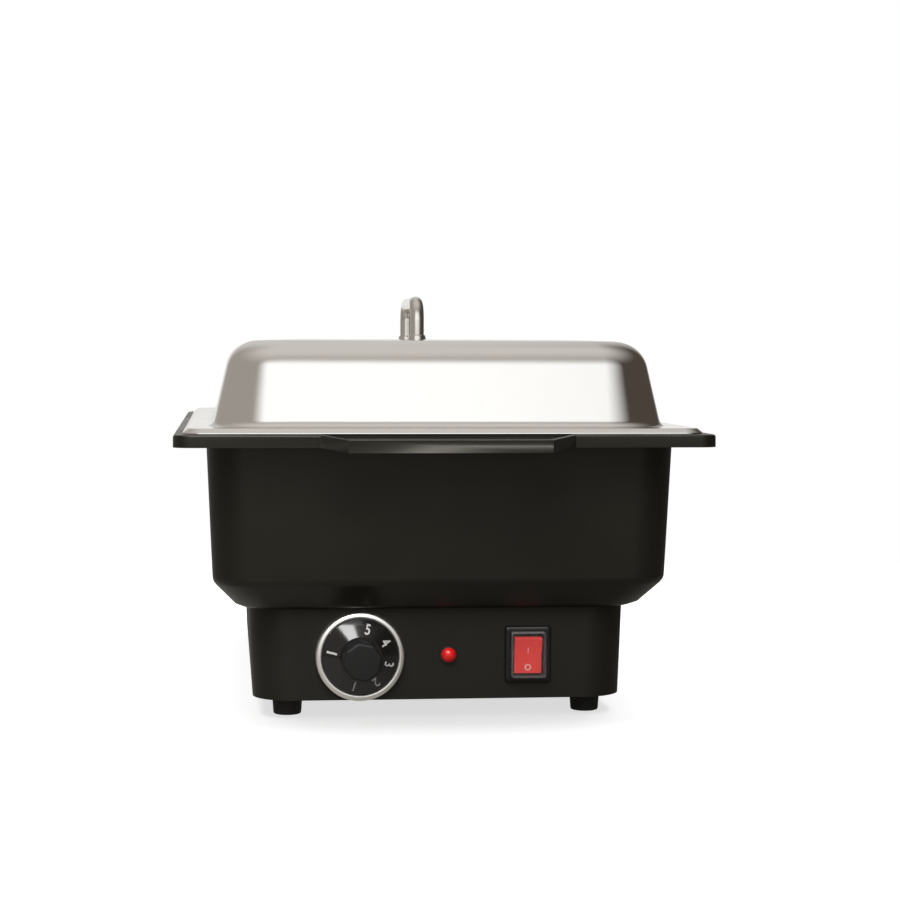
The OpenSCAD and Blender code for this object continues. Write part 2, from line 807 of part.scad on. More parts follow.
module lid_handle() {
    y_leg = handle_span / 2;
    z_bend = z_crown + handle_h - handle_d / 2 - handle_bend_r;
    half = concat(
        [[0, -y_leg, z_foot]],
        arc([0, handle_bend_r - y_leg, z_bend], handle_bend_r, [0, -1, 0], [0, 0, 1], handle_steps)
    );
    other = [for (i = [len(half) - 1:-1:0]) [0, -half[i][1], half[i][2]]];
    color("#d8d8d8")
    difference() {
        tube(concat(half, other), handle_d / 2, rod_sides);
        at_legs(z_foot - cut) cylinder(h = handle_thread + cut, d = handle_hole);
    }
}

module handle_ferrules() {
    color("#c8c8c8")
    at_legs(z_crown) difference() {
        cylinder(h = ferrule_h, d1 = ferrule_d, d2 = handle_d + cut);
        hole(handle_hole, ferrule_h);
    }
}

module handle_screws() {
    color("silver")
    at_legs(z_washer) {
        translate([0, 0, -head_h]) cylinder(h = head_h, d = 2 * handle_screw_d);
        translate([0, 0, -sink]) cylinder(h = z_foot - z_washer + handle_thread - cut, d = handle_screw_d);
    }
}

module handle_washers() {
    color("silver")
    at_legs(z_washer) difference() {
        cylinder(h = washer_t, d = handle_washer_d);
        hole(handle_hole, washer_t);
    }
}

module heating_plate() {
    rim = seal_w + plate_over;
    stud_l = z_plate - z_floor + nut_h + thread_over;
    color("gainsboro") {
        translate([0, 0, z_plate]) plate(heat_w + 2 * rim, heat_l + 2 * rim, heat_r + rim, plate_t);
        at_studs() translate([0, 0, z_plate - stud_l]) cylinder(h = stud_l + sink, d = screw_d);
        at_clamps() translate([0, 0, z_plate - clamp_stud]) cylinder(h = clamp_stud + sink, d = screw_d);
    }
}

module plate_gasket() {
    color("#8a3b2a")
    translate([0, 0, z_water])
    difference() {
        plate(heat_w + 2 * seal_w, heat_l + 2 * seal_w, heat_r + seal_w, seal_t);
        translate([0, 0, -cut])
            plate(heat_w + 2 * gasket_in, heat_l + 2 * gasket_in, heat_r + gasket_in, seal_t + 2 * cut);
        at_studs() hole(screw_hole, seal_t);
    }
}

module plate_nuts() {
    color("silver")
    at_studs() translate([0, 0, z_floor - nut_h]) nut();
}

module heating_element() {
    x_leg = element_span / 2;
    y_bow = heat_l / 2 - x_leg - element_d;
    bend_steps = 4;
    bow_steps = 6;
    half = concat(
        [[-pin_x, -element_y, z_element - pin_drop]],
        arc(
            [-pin_x - element_bend, -element_y, z_element - element_bend],
            element_bend, [1, 0, 0], [0, 0, 1], bend_steps
        ),
        arc(
            [element_bend - x_leg, element_bend - element_y, z_element],
            element_bend, [0, -1, 0], [-1, 0, 0], bend_steps
        ),
        arc([0, y_bow, z_element], x_leg, [-1, 0, 0], [0, 1, 0], bow_steps)
    );
    other = [for (i = [len(half) - 2:-1:0]) [-half[i][0], half[i][1], half[i][2]]];
    color("#6b6258") tube(concat(half, other), element_d / 2, element_sides);
}

module element_pins() {
    color("#e8e0d0")
    for (s = [-1, 1]) translate([s * pin_x, -element_y, z_element - pin_drop - bead_h]) {
        cylinder(h = bead_h, d = bead_d);
        translate([0, 0, -bead_h]) cylinder(h = bead_h + sink, d = pin_d);
    }
}

module clamp_bars() {
    color("silver")
    at_clamps() translate([0, 0, z_element - element_d / 2 - clamp_t]) difference() {
        block(element_span + element_d + 2 * clamp_over, clamp_w, clamp_t);
        hole(screw_hole, clamp_t);
    }
}

module clamp_nuts() {
    color("silver")
    at_clamps() translate([0, 0, z_element - element_d / 2 - clamp_t - nut_h]) nut();
}

module heat_shield() {
    color("#b9bcbe")
    translate([0, 0, z_shield])
    difference() {
        plate(shield_w, shield_l, shield_r, sheet_t + shield_edge);
        translate([0, 0, sheet_t])
            plate(shield_w - 2 * sheet_t, shield_l - 2 * sheet_t, shield_r - sheet_t, shield_edge + cut);
        at_clamps() hole(screw_hole, sheet_t);
    }
}

module shield_nuts() {
    color("silver")
    at_clamps() {
        translate([0, 0, z_shield + sheet_t]) nut();
        translate([0, 0, z_shield - nut_h]) nut();
    }
}

module thermal_cutout() {
    color("#d9d2c0")
    translate([cutout_x, 0, z_plate - sheet_t]) {
        block(cutout_ear_w, cutout_ear_l, sheet_t);
        translate([0, 0, -cutout_h]) cylinder(h = cutout_h + sink, d = cutout_d);
        for (s = [-1, 1]) translate([s * blade_x, 0, -cutout_h - blade_h])
            block(sheet_t, tab_w, blade_h + sink);
    }
}

module thermostat_body() {
    color("#cfc8b8")
    on_panel(knob_x) translate([0, 0, -base_wall]) difference() {
        union() {
            translate([0, 0, -therm_d]) block(therm_w, therm_h, therm_d);
            translate([0, 0, -sink]) cylinder(h = base_wall + bezel_t + sink, d = therm_bush_d);
        }
        translate([0, 0, -therm_d / 2]) cylinder(h = therm_d + base_wall, d = shaft_d + 2 * shaft_gap);
        at_therm_screws() translate([0, 0, -thread_in])
            cylinder(h = thread_in + cut, d = small_screw_d + 2 * screw_gap);
    }
}

module thermostat_shaft() {
    inside = base_wall + therm_d / 2 - lift_gap;
    color("#c9b46a")
    on_panel(knob_x) difference() {
        translate([0, 0, -inside]) cylinder(h = inside + shaft_out, d = shaft_d);
        translate([-shaft_d, flat_y, flat_z]) cube([2 * shaft_d, shaft_d, shaft_out]);
    }
}

module thermostat_screws() {
    reach = base_wall + thread_in - cut;
    color("silver")
    on_panel(knob_x) at_therm_screws() {
        translate([0, 0, bezel_t]) cylinder(h = small_head_h, d = small_head_d);
        translate([0, 0, -reach]) cylinder(h = reach + bezel_t + sink, d = small_screw_d);
    }
}

module thermostat_tabs() {
    color("#c9b46a")
    on_panel(knob_x) for (s = [-1, 1])
        translate([s * tab_z, -tab_z, -base_wall - therm_d - tab_l]) block(tab_w, sheet_t, tab_l);
}

z_bulb = z_plate - bulb_d / 2 - shaft_gap;

module sensor_bulb() {
    color("#c07a4a")
    translate([bulb_x, -bulb_l / 2, z_bulb]) rotate([-90, 0, 0]) cylinder(h = bulb_l, d = bulb_d);
}

module bulb_clips() {
    bore_r = bulb_d / 2 + 2 * shaft_gap;
    strap_r = bore_r + sheet_t;
    wing = strap_r + clip_wing;
    color("silver")
    for (s = [-1, 1])
        translate([bulb_x, s * bulb_l / 3 + clip_band / 2, z_bulb]) rotate([90, 0, 0])
        linear_extrude(clip_band)
        difference() {
            union() {
                circle(strap_r);
                translate([-strap_r, 0]) square([2 * strap_r, z_plate - z_bulb]);
                translate([-wing, z_plate - z_bulb - sheet_t]) square([2 * wing, sheet_t]);
            }
            circle(bore_r);
            translate([-bore_r, 0]) square([2 * bore_r, z_plate - z_bulb + cut]);
        }
}

module knob_bezel() {
    r = bezel_d / 2;
    ring_r = r - bezel_rim;
    bore_r = therm_bush_d / 2 + screw_gap;
    color("#d0ccc4")
    on_panel(knob_x) difference() {
        rotate_extrude($fn = fine_fn) polygon([
            [bore_r, 0], [r, 0], [r, bezel_t], [r - bezel_step, bezel_t + bezel_step],
            [r - bezel_step, bezel_h - bezel_roll], [r - bezel_roll, bezel_h],
            [ring_r + bezel_step, bezel_h], [ring_r, bezel_h - bezel_step],
            [ring_r, bezel_t], [bore_r, bezel_t]
        ]);
        at_therm_screws() hole(small_screw_d + 2 * screw_gap, bezel_t);
    }
}

module knob() {
    color("#141414")
    on_panel(knob_x) difference() {
        union() {
            translate([0, 0, knob_back]) rotate_extrude($fn = fine_fn) polygon([
                [0, 0], [skirt_d / 2, 0], [skirt_d / 2, knob_rim_h],
                [knob_cone_d / 2, knob_cone_h], [0, knob_cone_h]
            ]);
            translate([0, 0, knob_cone_h]) rotate([0, 0, flats_turn])
                cylinder(h = knob_h - knob_cone_h, d1 = grip_d + knob_taper, d2 = grip_d, $fn = knob_flats);
        }
        difference() {
            translate([0, 0, knob_back - cut]) cylinder(h = knob_rim_h + cut, d = skirt_d - 2 * knob_shell);
            cylinder(h = knob_h, d = hub_d);
        }
        difference() {
            cylinder(h = shaft_out + cut, d = shaft_d + 2 * shaft_gap);
            translate([-shaft_d, flat_y + spring_t + 2 * shaft_gap, flat_z + cut])
                cube([2 * shaft_d, shaft_d, knob_h]);
        }
    }
}

module knob_clip() {
    color("silver")
    on_panel(knob_x) translate([-spring_w / 2, flat_y + shaft_gap / 2, flat_z + cut])
        cube([spring_w, spring_t, spring_l]);
}

module pilot_lens() {
    r = pilot_d / 2;
    color("#c8140f")
    on_panel(pilot_x) rotate_extrude() polygon(concat(
        [[0, 0], [pilot_flange_d / 2, 0], [pilot_flange_d / 2, pilot_flange_h]],
        [for (a = [0:15:90]) [r * cos(a), pilot_flange_h + r * pilot_rise * sin(a)]]
    ));
}

module pilot_body() {
    color("#e6e2d6")
    on_panel(pilot_x) translate([0, 0, -pilot_body_l]) cylinder(h = pilot_body_l, d = pilot_body_d);
}

module pilot_nut() {
    color("silver")
    on_panel(pilot_x) translate([0, 0, -base_wall - nut_h])
        hex_nut(pilot_nut_d, nut_h, pilot_body_d + 2 * screw_gap);
}

module switch_housing() {
    color("#1a1a1a")
    on_panel(switch_x) difference() {
        union() {
            skin([
                ring(switch_w, switch_h, switch_r, 0), ring(switch_w, switch_h, switch_r, switch_t / 2),
                ring(switch_w - switch_t, switch_h - switch_t, switch_r, switch_t)
            ]);
            translate([0, 0, -switch_depth]) block(switch_body_w, switch_body_h, switch_depth + sink);
        }
        translate([0, 0, -switch_well])
            block(rocker_w + 2 * rocker_gap, rocker_l + 2 * rocker_end_gap, switch_well + switch_t);
        translate([0, 0, boot_seat]) block(boot_w + 2 * screw_gap, boot_h + 2 * screw_gap, switch_t);
        translate([-pivot_l - shaft_gap, 0, pivot_z]) rotate([0, 90, 0])
            cylinder(h = 2 * (pivot_l + shaft_gap), r = pivot_r + shaft_gap);
    }
}

module switch_rocker() {
    e = rocker_l / 2;
    up = rocker_end_h - pivot_z;
    mid = rocker_mid_h - pivot_z;
    color("#c33c37")
    on_panel(switch_x) translate([0, 0, pivot_z]) rotate([rocker_tilt, 0, 0]) {
        rotate([90, 0, 90]) translate([0, 0, -rocker_w / 2]) linear_extrude(rocker_w)
            polygon([
                [-e, up], [0, mid], [e, up], [e, rocker_side],
                [rocker_keel, -rocker_keel], [-rocker_keel, -rocker_keel], [-e, rocker_side]
            ]);
        translate([-pivot_l, 0, 0]) rotate([0, 90, 0]) cylinder(h = 2 * pivot_l, r = pivot_r);
    }
}

function boot_ring(inset, z) = ring(boot_w - 2 * inset, boot_h - 2 * inset, boot_r, z);

module switch_boot() {
    color([0.9, 0.88, 0.86, 0.4])
    on_panel(switch_x) translate([0, 0, boot_seat]) skin([
        boot_ring(boot_t + boot_bevel, boot_rise - boot_t),
        boot_ring(boot_t, boot_rise - boot_t - boot_bevel),
        boot_ring(boot_t, 0),
        boot_ring(0, 0),
        boot_ring(0, boot_rise - boot_bevel),
        boot_ring(boot_bevel, boot_rise)
    ]);
}

module switch_tabs() {
    color("#c9b46a")
    on_panel(switch_x) for (sx = [-1, 1], sy = [-1, 1])
        translate([sx * tab_x, sy * tab_z, -switch_depth - tab_l]) block(tab_w, sheet_t, tab_l);
}

module at_terminals() {
    for (k = [-1:1]) translate([gland_x + k * block_pitch, block_y, z_cover_top]) children();
}

module terminal_block() {
    color("#efe9dc")
    difference() {
        translate([gland_x, block_y, z_cover_top]) block(block_w, block_l, block_h);
        at_terminals() {
            translate([0, sink, block_h / 2]) rotate([-90, 0, 0]) cylinder(h = block_l, d = block_hole);
            translate([0, block_screw_y, block_h / 2]) cylinder(h = block_h, d = screw_hole);
        }
    }
}

module terminal_screws() {
    color("#c9b46a")
    at_terminals() translate([0, block_screw_y, (block_h + block_hole) / 2])
        cylinder(h = block_h / 2 - cut, d = screw_d);
}

module gland_body() {
    bore_l = gland_thread_in + gland_hex_h + gland_thread_out;
    color("#202020")
    on_back(gland_x) difference() {
        union() {
            translate([0, 0, -gland_thread_in]) cylinder(h = gland_thread_in + sink, d = gland_thread_d);
            cylinder(h = gland_hex_h, d = gland_hex_d, $fn = 6);
            cylinder(h = gland_hex_h + gland_thread_out, d = gland_thread_d + gland_step);
        }
        translate([0, 0, -gland_thread_in]) hole(gland_bore_d, bore_l);
    }
}

module gland_seal() {
    color("#303030")
    on_back(gland_x) translate([0, 0, gland_hex_h + gland_thread_out]) difference() {
        cylinder(h = gland_seal_h, d = gland_thread_d);
        hole(gland_bore_d, gland_seal_h);
    }
}

module gland_cap() {
    straight = gland_cap_h - gland_cap_nose;
    well = gland_thread_out + gland_seal_h;
    color("#202020")
    on_back(gland_x) translate([0, 0, gland_hex_h]) difference() {
        union() {
            cylinder(h = straight, d = gland_cap_d);
            translate([0, 0, straight])
                cylinder(h = gland_cap_nose, d1 = gland_cap_d, d2 = gland_cap_d - gland_cap_taper);
        }
        translate([0, 0, -cut]) cylinder(h = well + cut, d = gland_thread_d + gland_step + 2 * screw_gap);
        hole(gland_bore_d, gland_cap_h);
    }
}

module gland_locknut() {
    color("#202020")
    on_back(gland_x) translate([0, 0, -base_wall - gland_nut_h])
        hex_nut(gland_hex_d, gland_nut_h, gland_thread_d + 2 * screw_gap);
}

z_tag = z_shield - nut_h - tag_t;

module earth_tag() {
    color("#c9b46a")
    translate([0, clamp_y, z_tag]) difference() {
        union() {
            cylinder(h = tag_t, d = tag_d);
            translate([-tag_w / 2, 0, 0]) cube([tag_w, tag_l, tag_t]);
        }
        hole(screw_hole, tag_t);
    }
}

// Ends that the wires share, and heights just over the heat shield and over its edge
y_tabs = y_panel + switch_depth + tab_l;
y_therm = y_panel + base_wall + therm_d;
y_therm_tabs = y_therm + tab_l;
y_block = block_y - block_l / 2;
z_block = z_cover_top + block_h / 2;
z_pins = z_element - pin_drop - 2 * bead_h;
z_blades = z_plate - sheet_t - cutout_h - blade_h / 2;
z_tab_high = z_control + tab_z;
z_tab_low = z_control - tab_z;
y_edge = shield_l / 2;
z_over = z_shield + sheet_t + shield_edge + wire_d;
z_under = z_shield + sheet_t + wire_d;

// A wire's ends are straight, so that they meet their terminals squarely
straight_part = 1 / 4;
function square_ends(p) =
    let (
        n = len(p) - 1,
        first = p[0] + straight_part * (p[1] - p[0]),
        last = p[n] + straight_part * (p[n - 1] - p[n])
    )
    concat([p[0]], curve(concat([first], [for (i = [1:n - 1]) p[i]], [last])), [p[n]]);
module wire(points, shade, d = wire_d) {
    color(shade) tube(square_ends(points), d / 2, wire_sides);
}

// The thermostat's tube runs between the heater's legs and over the shield's edge to the bulb
module capillary_tube() {
    x = knob_x + tube_in_x;
    z = z_control + tube_in_z;
    wire([
        [x, y_therm, z], [x, y_therm + lead, z], [x / 2, y_therm + 2 * lead, z + lead / 2],
        [0, -element_y, z_over], [lead, -y_edge, z_over], [bulb_x, -clamp_y - clamp_w, z_under + wire_d],
        [bulb_x, -clamp_y + clamp_w / 2, z_under + wire_d], [bulb_x, -bulb_l / 2 - wire_d, z_bulb],
        [bulb_x, -bulb_l / 2, z_bulb]
    ], "#c07a4a", 2 * capillary_r);
}

module supply_wire(k, z_tab, shade) {
    x = gland_x + k * block_pitch;
    x_lane = lane_x + k * lane_pitch;
    wire([
        [x, y_block, z_block], [x, y_block - lead, z_block], [x_lane, y_block - 4 * lead, lane_z],
        [x_lane, 4 * lead, lane_z], [x_lane, y_tabs + 6 * lead, lane_z],
        [switch_x + tab_x, y_tabs + lead, z_tab], [switch_x + tab_x, y_tabs, z_tab]
    ], shade);
}
module live_wire() { supply_wire(0, z_tab_high, "#7a4a2a"); }
module neutral_wire() { supply_wire(-1, z_tab_low, "#2a55a0"); }

module earth_wire() {
    x = gland_x + block_pitch;
    y_tag = clamp_y + tag_l;
    wire([
        [x, y_block, z_block], [x, y_block - lead, z_block],
        [x - lead, y_block - 3 * lead, z_block + lead / 2],
        [x / 3, y_tag + 3 * lead, z_block + 2 * lead], [lead / 2, y_tag + lead, z_tag - lead / 2],
        [0, y_tag + lead / 2, z_tag + tag_t / 2], [0, y_tag, z_tag + tag_t / 2]
    ], "#4a9a3a");
}

module switched_wire() {
    x = switch_x - tab_x;
    x_to = knob_x + tab_z;
    wire([
        [x, y_tabs, z_tab_high], [x, y_tabs + lead, z_tab_high],
        [pin_x, y_tabs + 2 * lead, z_tab_low], [-pin_x, y_tabs + 2 * lead, z_tab_low],
        [x_to, y_therm_tabs + lead, z_tab_low], [x_to, y_therm_tabs, z_tab_low]
    ], "#1c1c1c");
}

module cutout_wire() {
    x = knob_x - tab_z;
    x_blade = cutout_x - blade_x;
    wire([
        [x, y_therm_tabs, z_tab_low], [x, y_therm_tabs + lead, z_tab_low],
        [x_blade - lead, -element_y - lead, z_control + lead],
        [x_blade - lead / 2, -element_y + lead, z_over],
        [x_blade, -y_edge, z_over], [x_blade, -y_edge + 2 * lead, z_under], [x_blade, -clamp_y, z_under],
        [x_blade, -clamp_y / 2, z_under], [x_blade, -lead, z_blades], [x_blade, -tab_w / 2, z_blades]
    ], "#b8b0a0");
}

module element_wire() {
    x_blade = cutout_x + blade_x;
    wire([
        [x_blade, -tab_w / 2, z_blades], [x_blade, -lead, z_blades], [x_blade, -clamp_y / 2, z_under],
        [x_blade, -clamp_y, z_under], [x_blade, -y_edge + 2 * lead, z_under], [-lead, -y_edge, z_over],
        [-lead, -element_y, z_control], [-pin_x, -element_y, z_pins - lead / 2], [-pin_x, -element_y, z_pins]
    ], "#b8b0a0");
}

module return_wire() {
    x = switch_x - tab_x;
    wire([
        [pin_x, -element_y, z_pins], [pin_x, -element_y, z_pins - lead],
        [pin_x + lead, -element_y - lead, lane_z],
        [x, y_tabs + lead, z_tab_low], [x, y_tabs, z_tab_low]
    ], "#b8b0a0");
}

module pilot_wires() {
    y = y_panel + pilot_body_l;
    x_tab = switch_x - tab_x - tab_w / 2;
    for (s = [-1, 1]) wire([
        [pilot_x + s * pilot_lead, y, z_control + s * pilot_lead],
        [pilot_x + s * pilot_lead, y + lead, z_control + s * pilot_lead],
        [pilot_x + 2 * lead, y + lead, z_control + s * tab_z],
        [x_tab - tab_x, y_tabs - tab_l / 2, z_control + s * tab_z],
        [x_tab, y_tabs - tab_l / 2, z_control + s * tab_z]
    ], "#c8c0b0", pilot_wire_d);
}

tub();
base_housing();
bottom_cover();
foot_front_left();
foot_front_right();
foot_rear_left();
foot_rear_right();
foot_screws();
foot_nuts();
tie_screws();
food_pan();
lid_shell();
lid_handle();
handle_ferrules();
handle_screws();
handle_washers();
heating_plate();
plate_gasket();
plate_nuts();
heating_element();
element_pins();
clamp_bars();
clamp_nuts();
heat_shield();
shield_nuts();
thermal_cutout();
thermostat_body();
thermostat_shaft();
thermostat_screws();
thermostat_tabs();
sensor_bulb();
bulb_clips();
capillary_tube();
knob();
knob_clip();
knob_bezel();
pilot_lens();
pilot_body();
pilot_nut();
switch_housing();
switch_rocker();
switch_boot();
switch_tabs();
terminal_block();
terminal_screws();
gland_body();
gland_cap();
gland_seal();
gland_locknut();
earth_tag();
live_wire();
neutral_wire();
earth_wire();
switched_wire();
cutout_wire();
element_wire();
return_wire();
pilot_wires();
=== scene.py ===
"""Looks of an electric chafing dish: each piece is modelled or finished by its own operator."""

import math

import bmesh
import bpy
from bpy.props import FloatProperty, FloatVectorProperty, PointerProperty
from mathutils import Matrix, Vector


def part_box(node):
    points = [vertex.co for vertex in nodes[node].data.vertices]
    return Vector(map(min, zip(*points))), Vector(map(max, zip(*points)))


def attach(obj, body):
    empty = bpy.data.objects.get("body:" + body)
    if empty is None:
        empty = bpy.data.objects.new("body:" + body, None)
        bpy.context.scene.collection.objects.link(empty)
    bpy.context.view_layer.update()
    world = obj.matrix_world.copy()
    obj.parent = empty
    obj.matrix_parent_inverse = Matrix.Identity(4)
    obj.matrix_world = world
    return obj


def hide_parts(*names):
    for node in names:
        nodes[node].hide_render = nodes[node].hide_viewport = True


bl_info = {
    "name": "Electric Chafing Dish",
    "version": (1, 0, 0),
    "blender": (4, 5, 0),
    "location": "View3D > Sidebar > Dish",
    "description": "Models and finishes the pieces of an electric chafing dish round its packed frame",
    "category": "Object",
}

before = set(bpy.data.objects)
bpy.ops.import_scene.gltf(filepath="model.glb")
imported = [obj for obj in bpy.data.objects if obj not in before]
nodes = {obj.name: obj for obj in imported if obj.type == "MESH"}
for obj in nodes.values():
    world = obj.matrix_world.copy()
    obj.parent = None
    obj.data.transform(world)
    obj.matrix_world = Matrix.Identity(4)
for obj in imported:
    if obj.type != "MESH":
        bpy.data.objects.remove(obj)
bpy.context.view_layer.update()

MM = 0.001
INK = 0.12 * MM
WARM_SHEEN = (1.0, 0.96, 0.84)
pan_low, pan_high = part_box("food_pan")
lid_low, lid_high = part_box("lid_shell")
handle_low, handle_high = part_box("lid_handle")
collar_low, collar_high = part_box("handle_ferrules")
ring_low, ring_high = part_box("knob_bezel")
knob_low, knob_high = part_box("knob")
lens_low, lens_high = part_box("pilot_lens")
switch_low, switch_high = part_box("switch_housing")
cover_low, cover_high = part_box("switch_boot")
foot_low, foot_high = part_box("foot_front_left")
panel_y = ring_high.y
panel_z = (ring_low.z + ring_high.z) / 2


def length(name, description, default, low, high):
    return FloatProperty(
        name=name, description=description, default=default, min=low, max=high, unit="LENGTH", precision=4
    )


def rotation(name, description, default, low, high):
    return FloatProperty(
        name=name, description=description, default=math.radians(default), min=math.radians(low),
        max=math.radians(high), unit="ROTATION",
    )


class DishSizes(bpy.types.PropertyGroup):
    sheet: length(
        "Steel sheet", "Thickness of the lid's and the pan's sheet", 0.8 * MM, 0.4 * MM, 1.5 * MM
    )
    tub_edge: length("Tub edges", "Rounding of the tub's moulded edges", 0.9 * MM, 0.1 * MM, 1.2 * MM)
    flange_edge: length(
        "Flange edge", "Rounding of the flange's upper outer edge", 3 * MM, 0.5 * MM, 3.2 * MM
    )
    base_edge: length(
        "Base edges", "Rounding of the control base's moulded edges", 0.8 * MM, 0.1 * MM, 1.2 * MM
    )
    lid_crown: length(
        "Lid crown", "Run over which the lid's top rises to its flat middle", 45 * MM, 20 * MM, 80 * MM
    )
    rod: length(
        "Handle rod", "Diameter of the lid handle's rod", handle_high.x - handle_low.x, 6 * MM, 14 * MM
    )
    handle_bend: length(
        "Handle bends", "Radius of the handle's two bends, at the middle of the rod", 13 * MM, 8 * MM, 18 * MM
    )
    skirt: length(
        "Knob skirt", "Diameter of the knob's numbered skirt", knob_high.x - knob_low.x, 44 * MM, 54 * MM
    )
    grip: length(
        "Knob grip", "Width of the knob's eight-sided grip across its corners", 27.5 * MM, 24 * MM, 30 * MM
    )
    mark: length("Dial marks", "Height of the printed marks on the knob's skirt", 8.2 * MM, 4 * MM, 11 * MM)
    off_turn: rotation(
        "Off mark", "Place of the off mark round the knob, counter-clockwise from the right", 170, 0, 360
    )
    first_mark: rotation("First number", "Turn from the dial's off mark to its highest number", 94, 60, 120)
    mark_pitch: rotation("Dial pitch", "Turn from one number of the dial to the next", 44.7, 20, 60)
    rocker_tilt: rotation("Rocker tilt", "Tilt of the rocker to each side", 11, 4, 12)


def colour(name, description, shade):
    return FloatVectorProperty(
        name=name, description=description, default=shade, subtype="COLOR", size=3, min=0, max=1
    )


class DishColours(bpy.types.PropertyGroup):
    tub: colour("Tub", "Satin black of the moulded tub", (0.0068, 0.0065, 0.0047))
    base: colour("Control base", "Black of the control base", (0.0064, 0.0062, 0.0047))
    cover: colour("Bottom cover", "Powder coat of the bottom cover", (0.03, 0.03, 0.03))
    rubber: colour("Rubber", "Black of the feet and the seal", (0.012, 0.012, 0.011))
    lid: colour("Lid", "Polished steel of the lid", (0.87, 0.865, 0.85))
    pan: colour("Pan", "Satin steel of the pan", (0.66, 0.65, 0.63))
    handle: colour("Lid handle", "Polished steel of the handle", (0.78, 0.76, 0.73))
    chrome: colour("Knob ring", "Chrome of the ring round the knob", (0.86, 0.845, 0.81))
    knob: colour("Knob", "Black of the knob, the pilot's collar and the switch", (0.006, 0.006, 0.006))
    marks: colour("Marks", "Ink of the dial's marks", (0.46, 0.45, 0.43))
    lens: colour("Pilot light", "Red of the pilot light's lens", (0.58, 0.008, 0.006))
    rocker: colour("Rocker", "Red of the switch's rocker", (0.86, 0.05, 0.042))
    gland: colour("Gland", "Black nylon of the cord gland", (0.014, 0.014, 0.014))


# Hand tools: what is picked up, and what an operator then acts on


def clear_bench():
    """Leaves edit mode and lets go of everything, so that an operator acts on its own piece alone."""
    if bpy.context.mode != "OBJECT":
        bpy.ops.object.mode_set(mode="OBJECT")
    bpy.ops.object.select_all(action="DESELECT")


def take(piece):
    clear_bench()
    piece.select_set(True)
    bpy.context.view_layer.objects.active = piece


def begin(name, add, **how):
    """Adds a primitive and opens it for shaping, with all of it picked."""
    clear_bench()
    add(**how)
    piece = bpy.context.object
    piece.name = piece.data.name = name
    bpy.ops.object.mode_set(mode="EDIT")
    bpy.ops.mesh.select_mode(type="VERT")
    bpy.ops.mesh.select_all(action="SELECT")
    return piece


def pick(kind, test):
    """Picks the vertices, edges or faces of the open piece that pass a test, and says how many."""
    bpy.ops.mesh.select_mode(type={"verts": "VERT", "edges": "EDGE", "faces": "FACE"}[kind])
    bpy.ops.mesh.select_all(action="DESELECT")
    data = bpy.context.object.data
    mesh = bmesh.from_edit_mesh(data)
    found = [part for part in getattr(mesh, kind) if test(part)]
    for part in found:
        part.select_set(True)
    mesh.select_flush(True)
    bmesh.update_edit_mesh(data)
    return len(found)


def extrude(*step):
    bpy.ops.mesh.extrude_region_move(TRANSFORM_OT_translate={"value": step})


def close_up(piece):
    """Merges what meets, turns all faces outwards and leaves edit mode."""
    bpy.ops.mesh.select_all(action="SELECT")
    bpy.ops.mesh.remove_doubles(threshold=1e-6)
    bpy.ops.mesh.normals_make_consistent(inside=False)
    bpy.ops.object.mode_set(mode="OBJECT")
    return piece


def settle(piece, spot=(0, 0, 0), turn=(0, 0, 0)):
    """Puts a piece in its place and leaves its object at the origin, unturned."""
    take(piece)
    move = Matrix.Translation(spot)
    for amount, axis in zip(reversed(turn), "ZYX"):
        move = move @ Matrix.Rotation(amount, 4, axis)
    piece.matrix_world = move @ piece.matrix_world
    bpy.context.view_layer.update()
    bpy.ops.object.transform_apply(location=True, rotation=True, scale=True)
    return piece


def on_panel(piece, x):
    """Stands a piece that was made along Z on the control panel, facing out of it."""
    return settle(piece, (x, panel_y, panel_z), (math.pi / 2, 0, 0))


def apply_modifier(piece, kind, **settings):
    take(piece)
    modifier = piece.modifiers.new(kind.title(), kind)
    for key, value in settings.items():
        setattr(modifier, key, value)
    bpy.ops.object.modifier_apply(modifier=modifier.name)


def ease_edges(piece, width, segments=2, angle=35):
    apply_modifier(
        piece, "BEVEL", width=width, segments=segments, limit_method="ANGLE",
        angle_limit=math.radians(angle), miter_outer="MITER_ARC", use_clamp_overlap=True,
    )


def polish(piece, angle=38):
    """Smooth shading that keeps the flats flat and the true edges crisp."""
    take(piece)
    bpy.ops.object.shade_smooth_by_angle(angle=math.radians(angle))
    apply_modifier(piece, "WEIGHTED_NORMAL", keep_sharp=True)
    return piece


def quarter(steps):
    """The angles from 0 to a right angle, in even steps."""
    return [math.pi / 2 * k / steps for k in range(steps + 1)]


def turned(name, profile, sides, loop=False):
    """A round piece along Z: a circle extruded and resized along the profile's (radius, height) points.
    A loop's last point joins its first, and any other profile ends in caps or at a point on the axis."""
    radius, height = profile[0]
    piece = begin(
        name, bpy.ops.mesh.primitive_circle_add, vertices=sides, radius=radius,
        fill_type="NOTHING" if loop else "NGON", location=(0, 0, height),
    )
    if loop:
        profile = profile + [profile[0]]
    for (r0, z0), (r1, z1) in zip(profile, profile[1:]):
        extrude(0, 0, z1 - z0)
        if r1 == 0:
            bpy.ops.mesh.merge(type="CENTER")
        elif r1 != r0:
            scale = r1 / r0
            bpy.ops.transform.resize(value=(scale, scale, 1), center_override=(0, 0, z1))
    close_up(piece)
    return settle(piece)


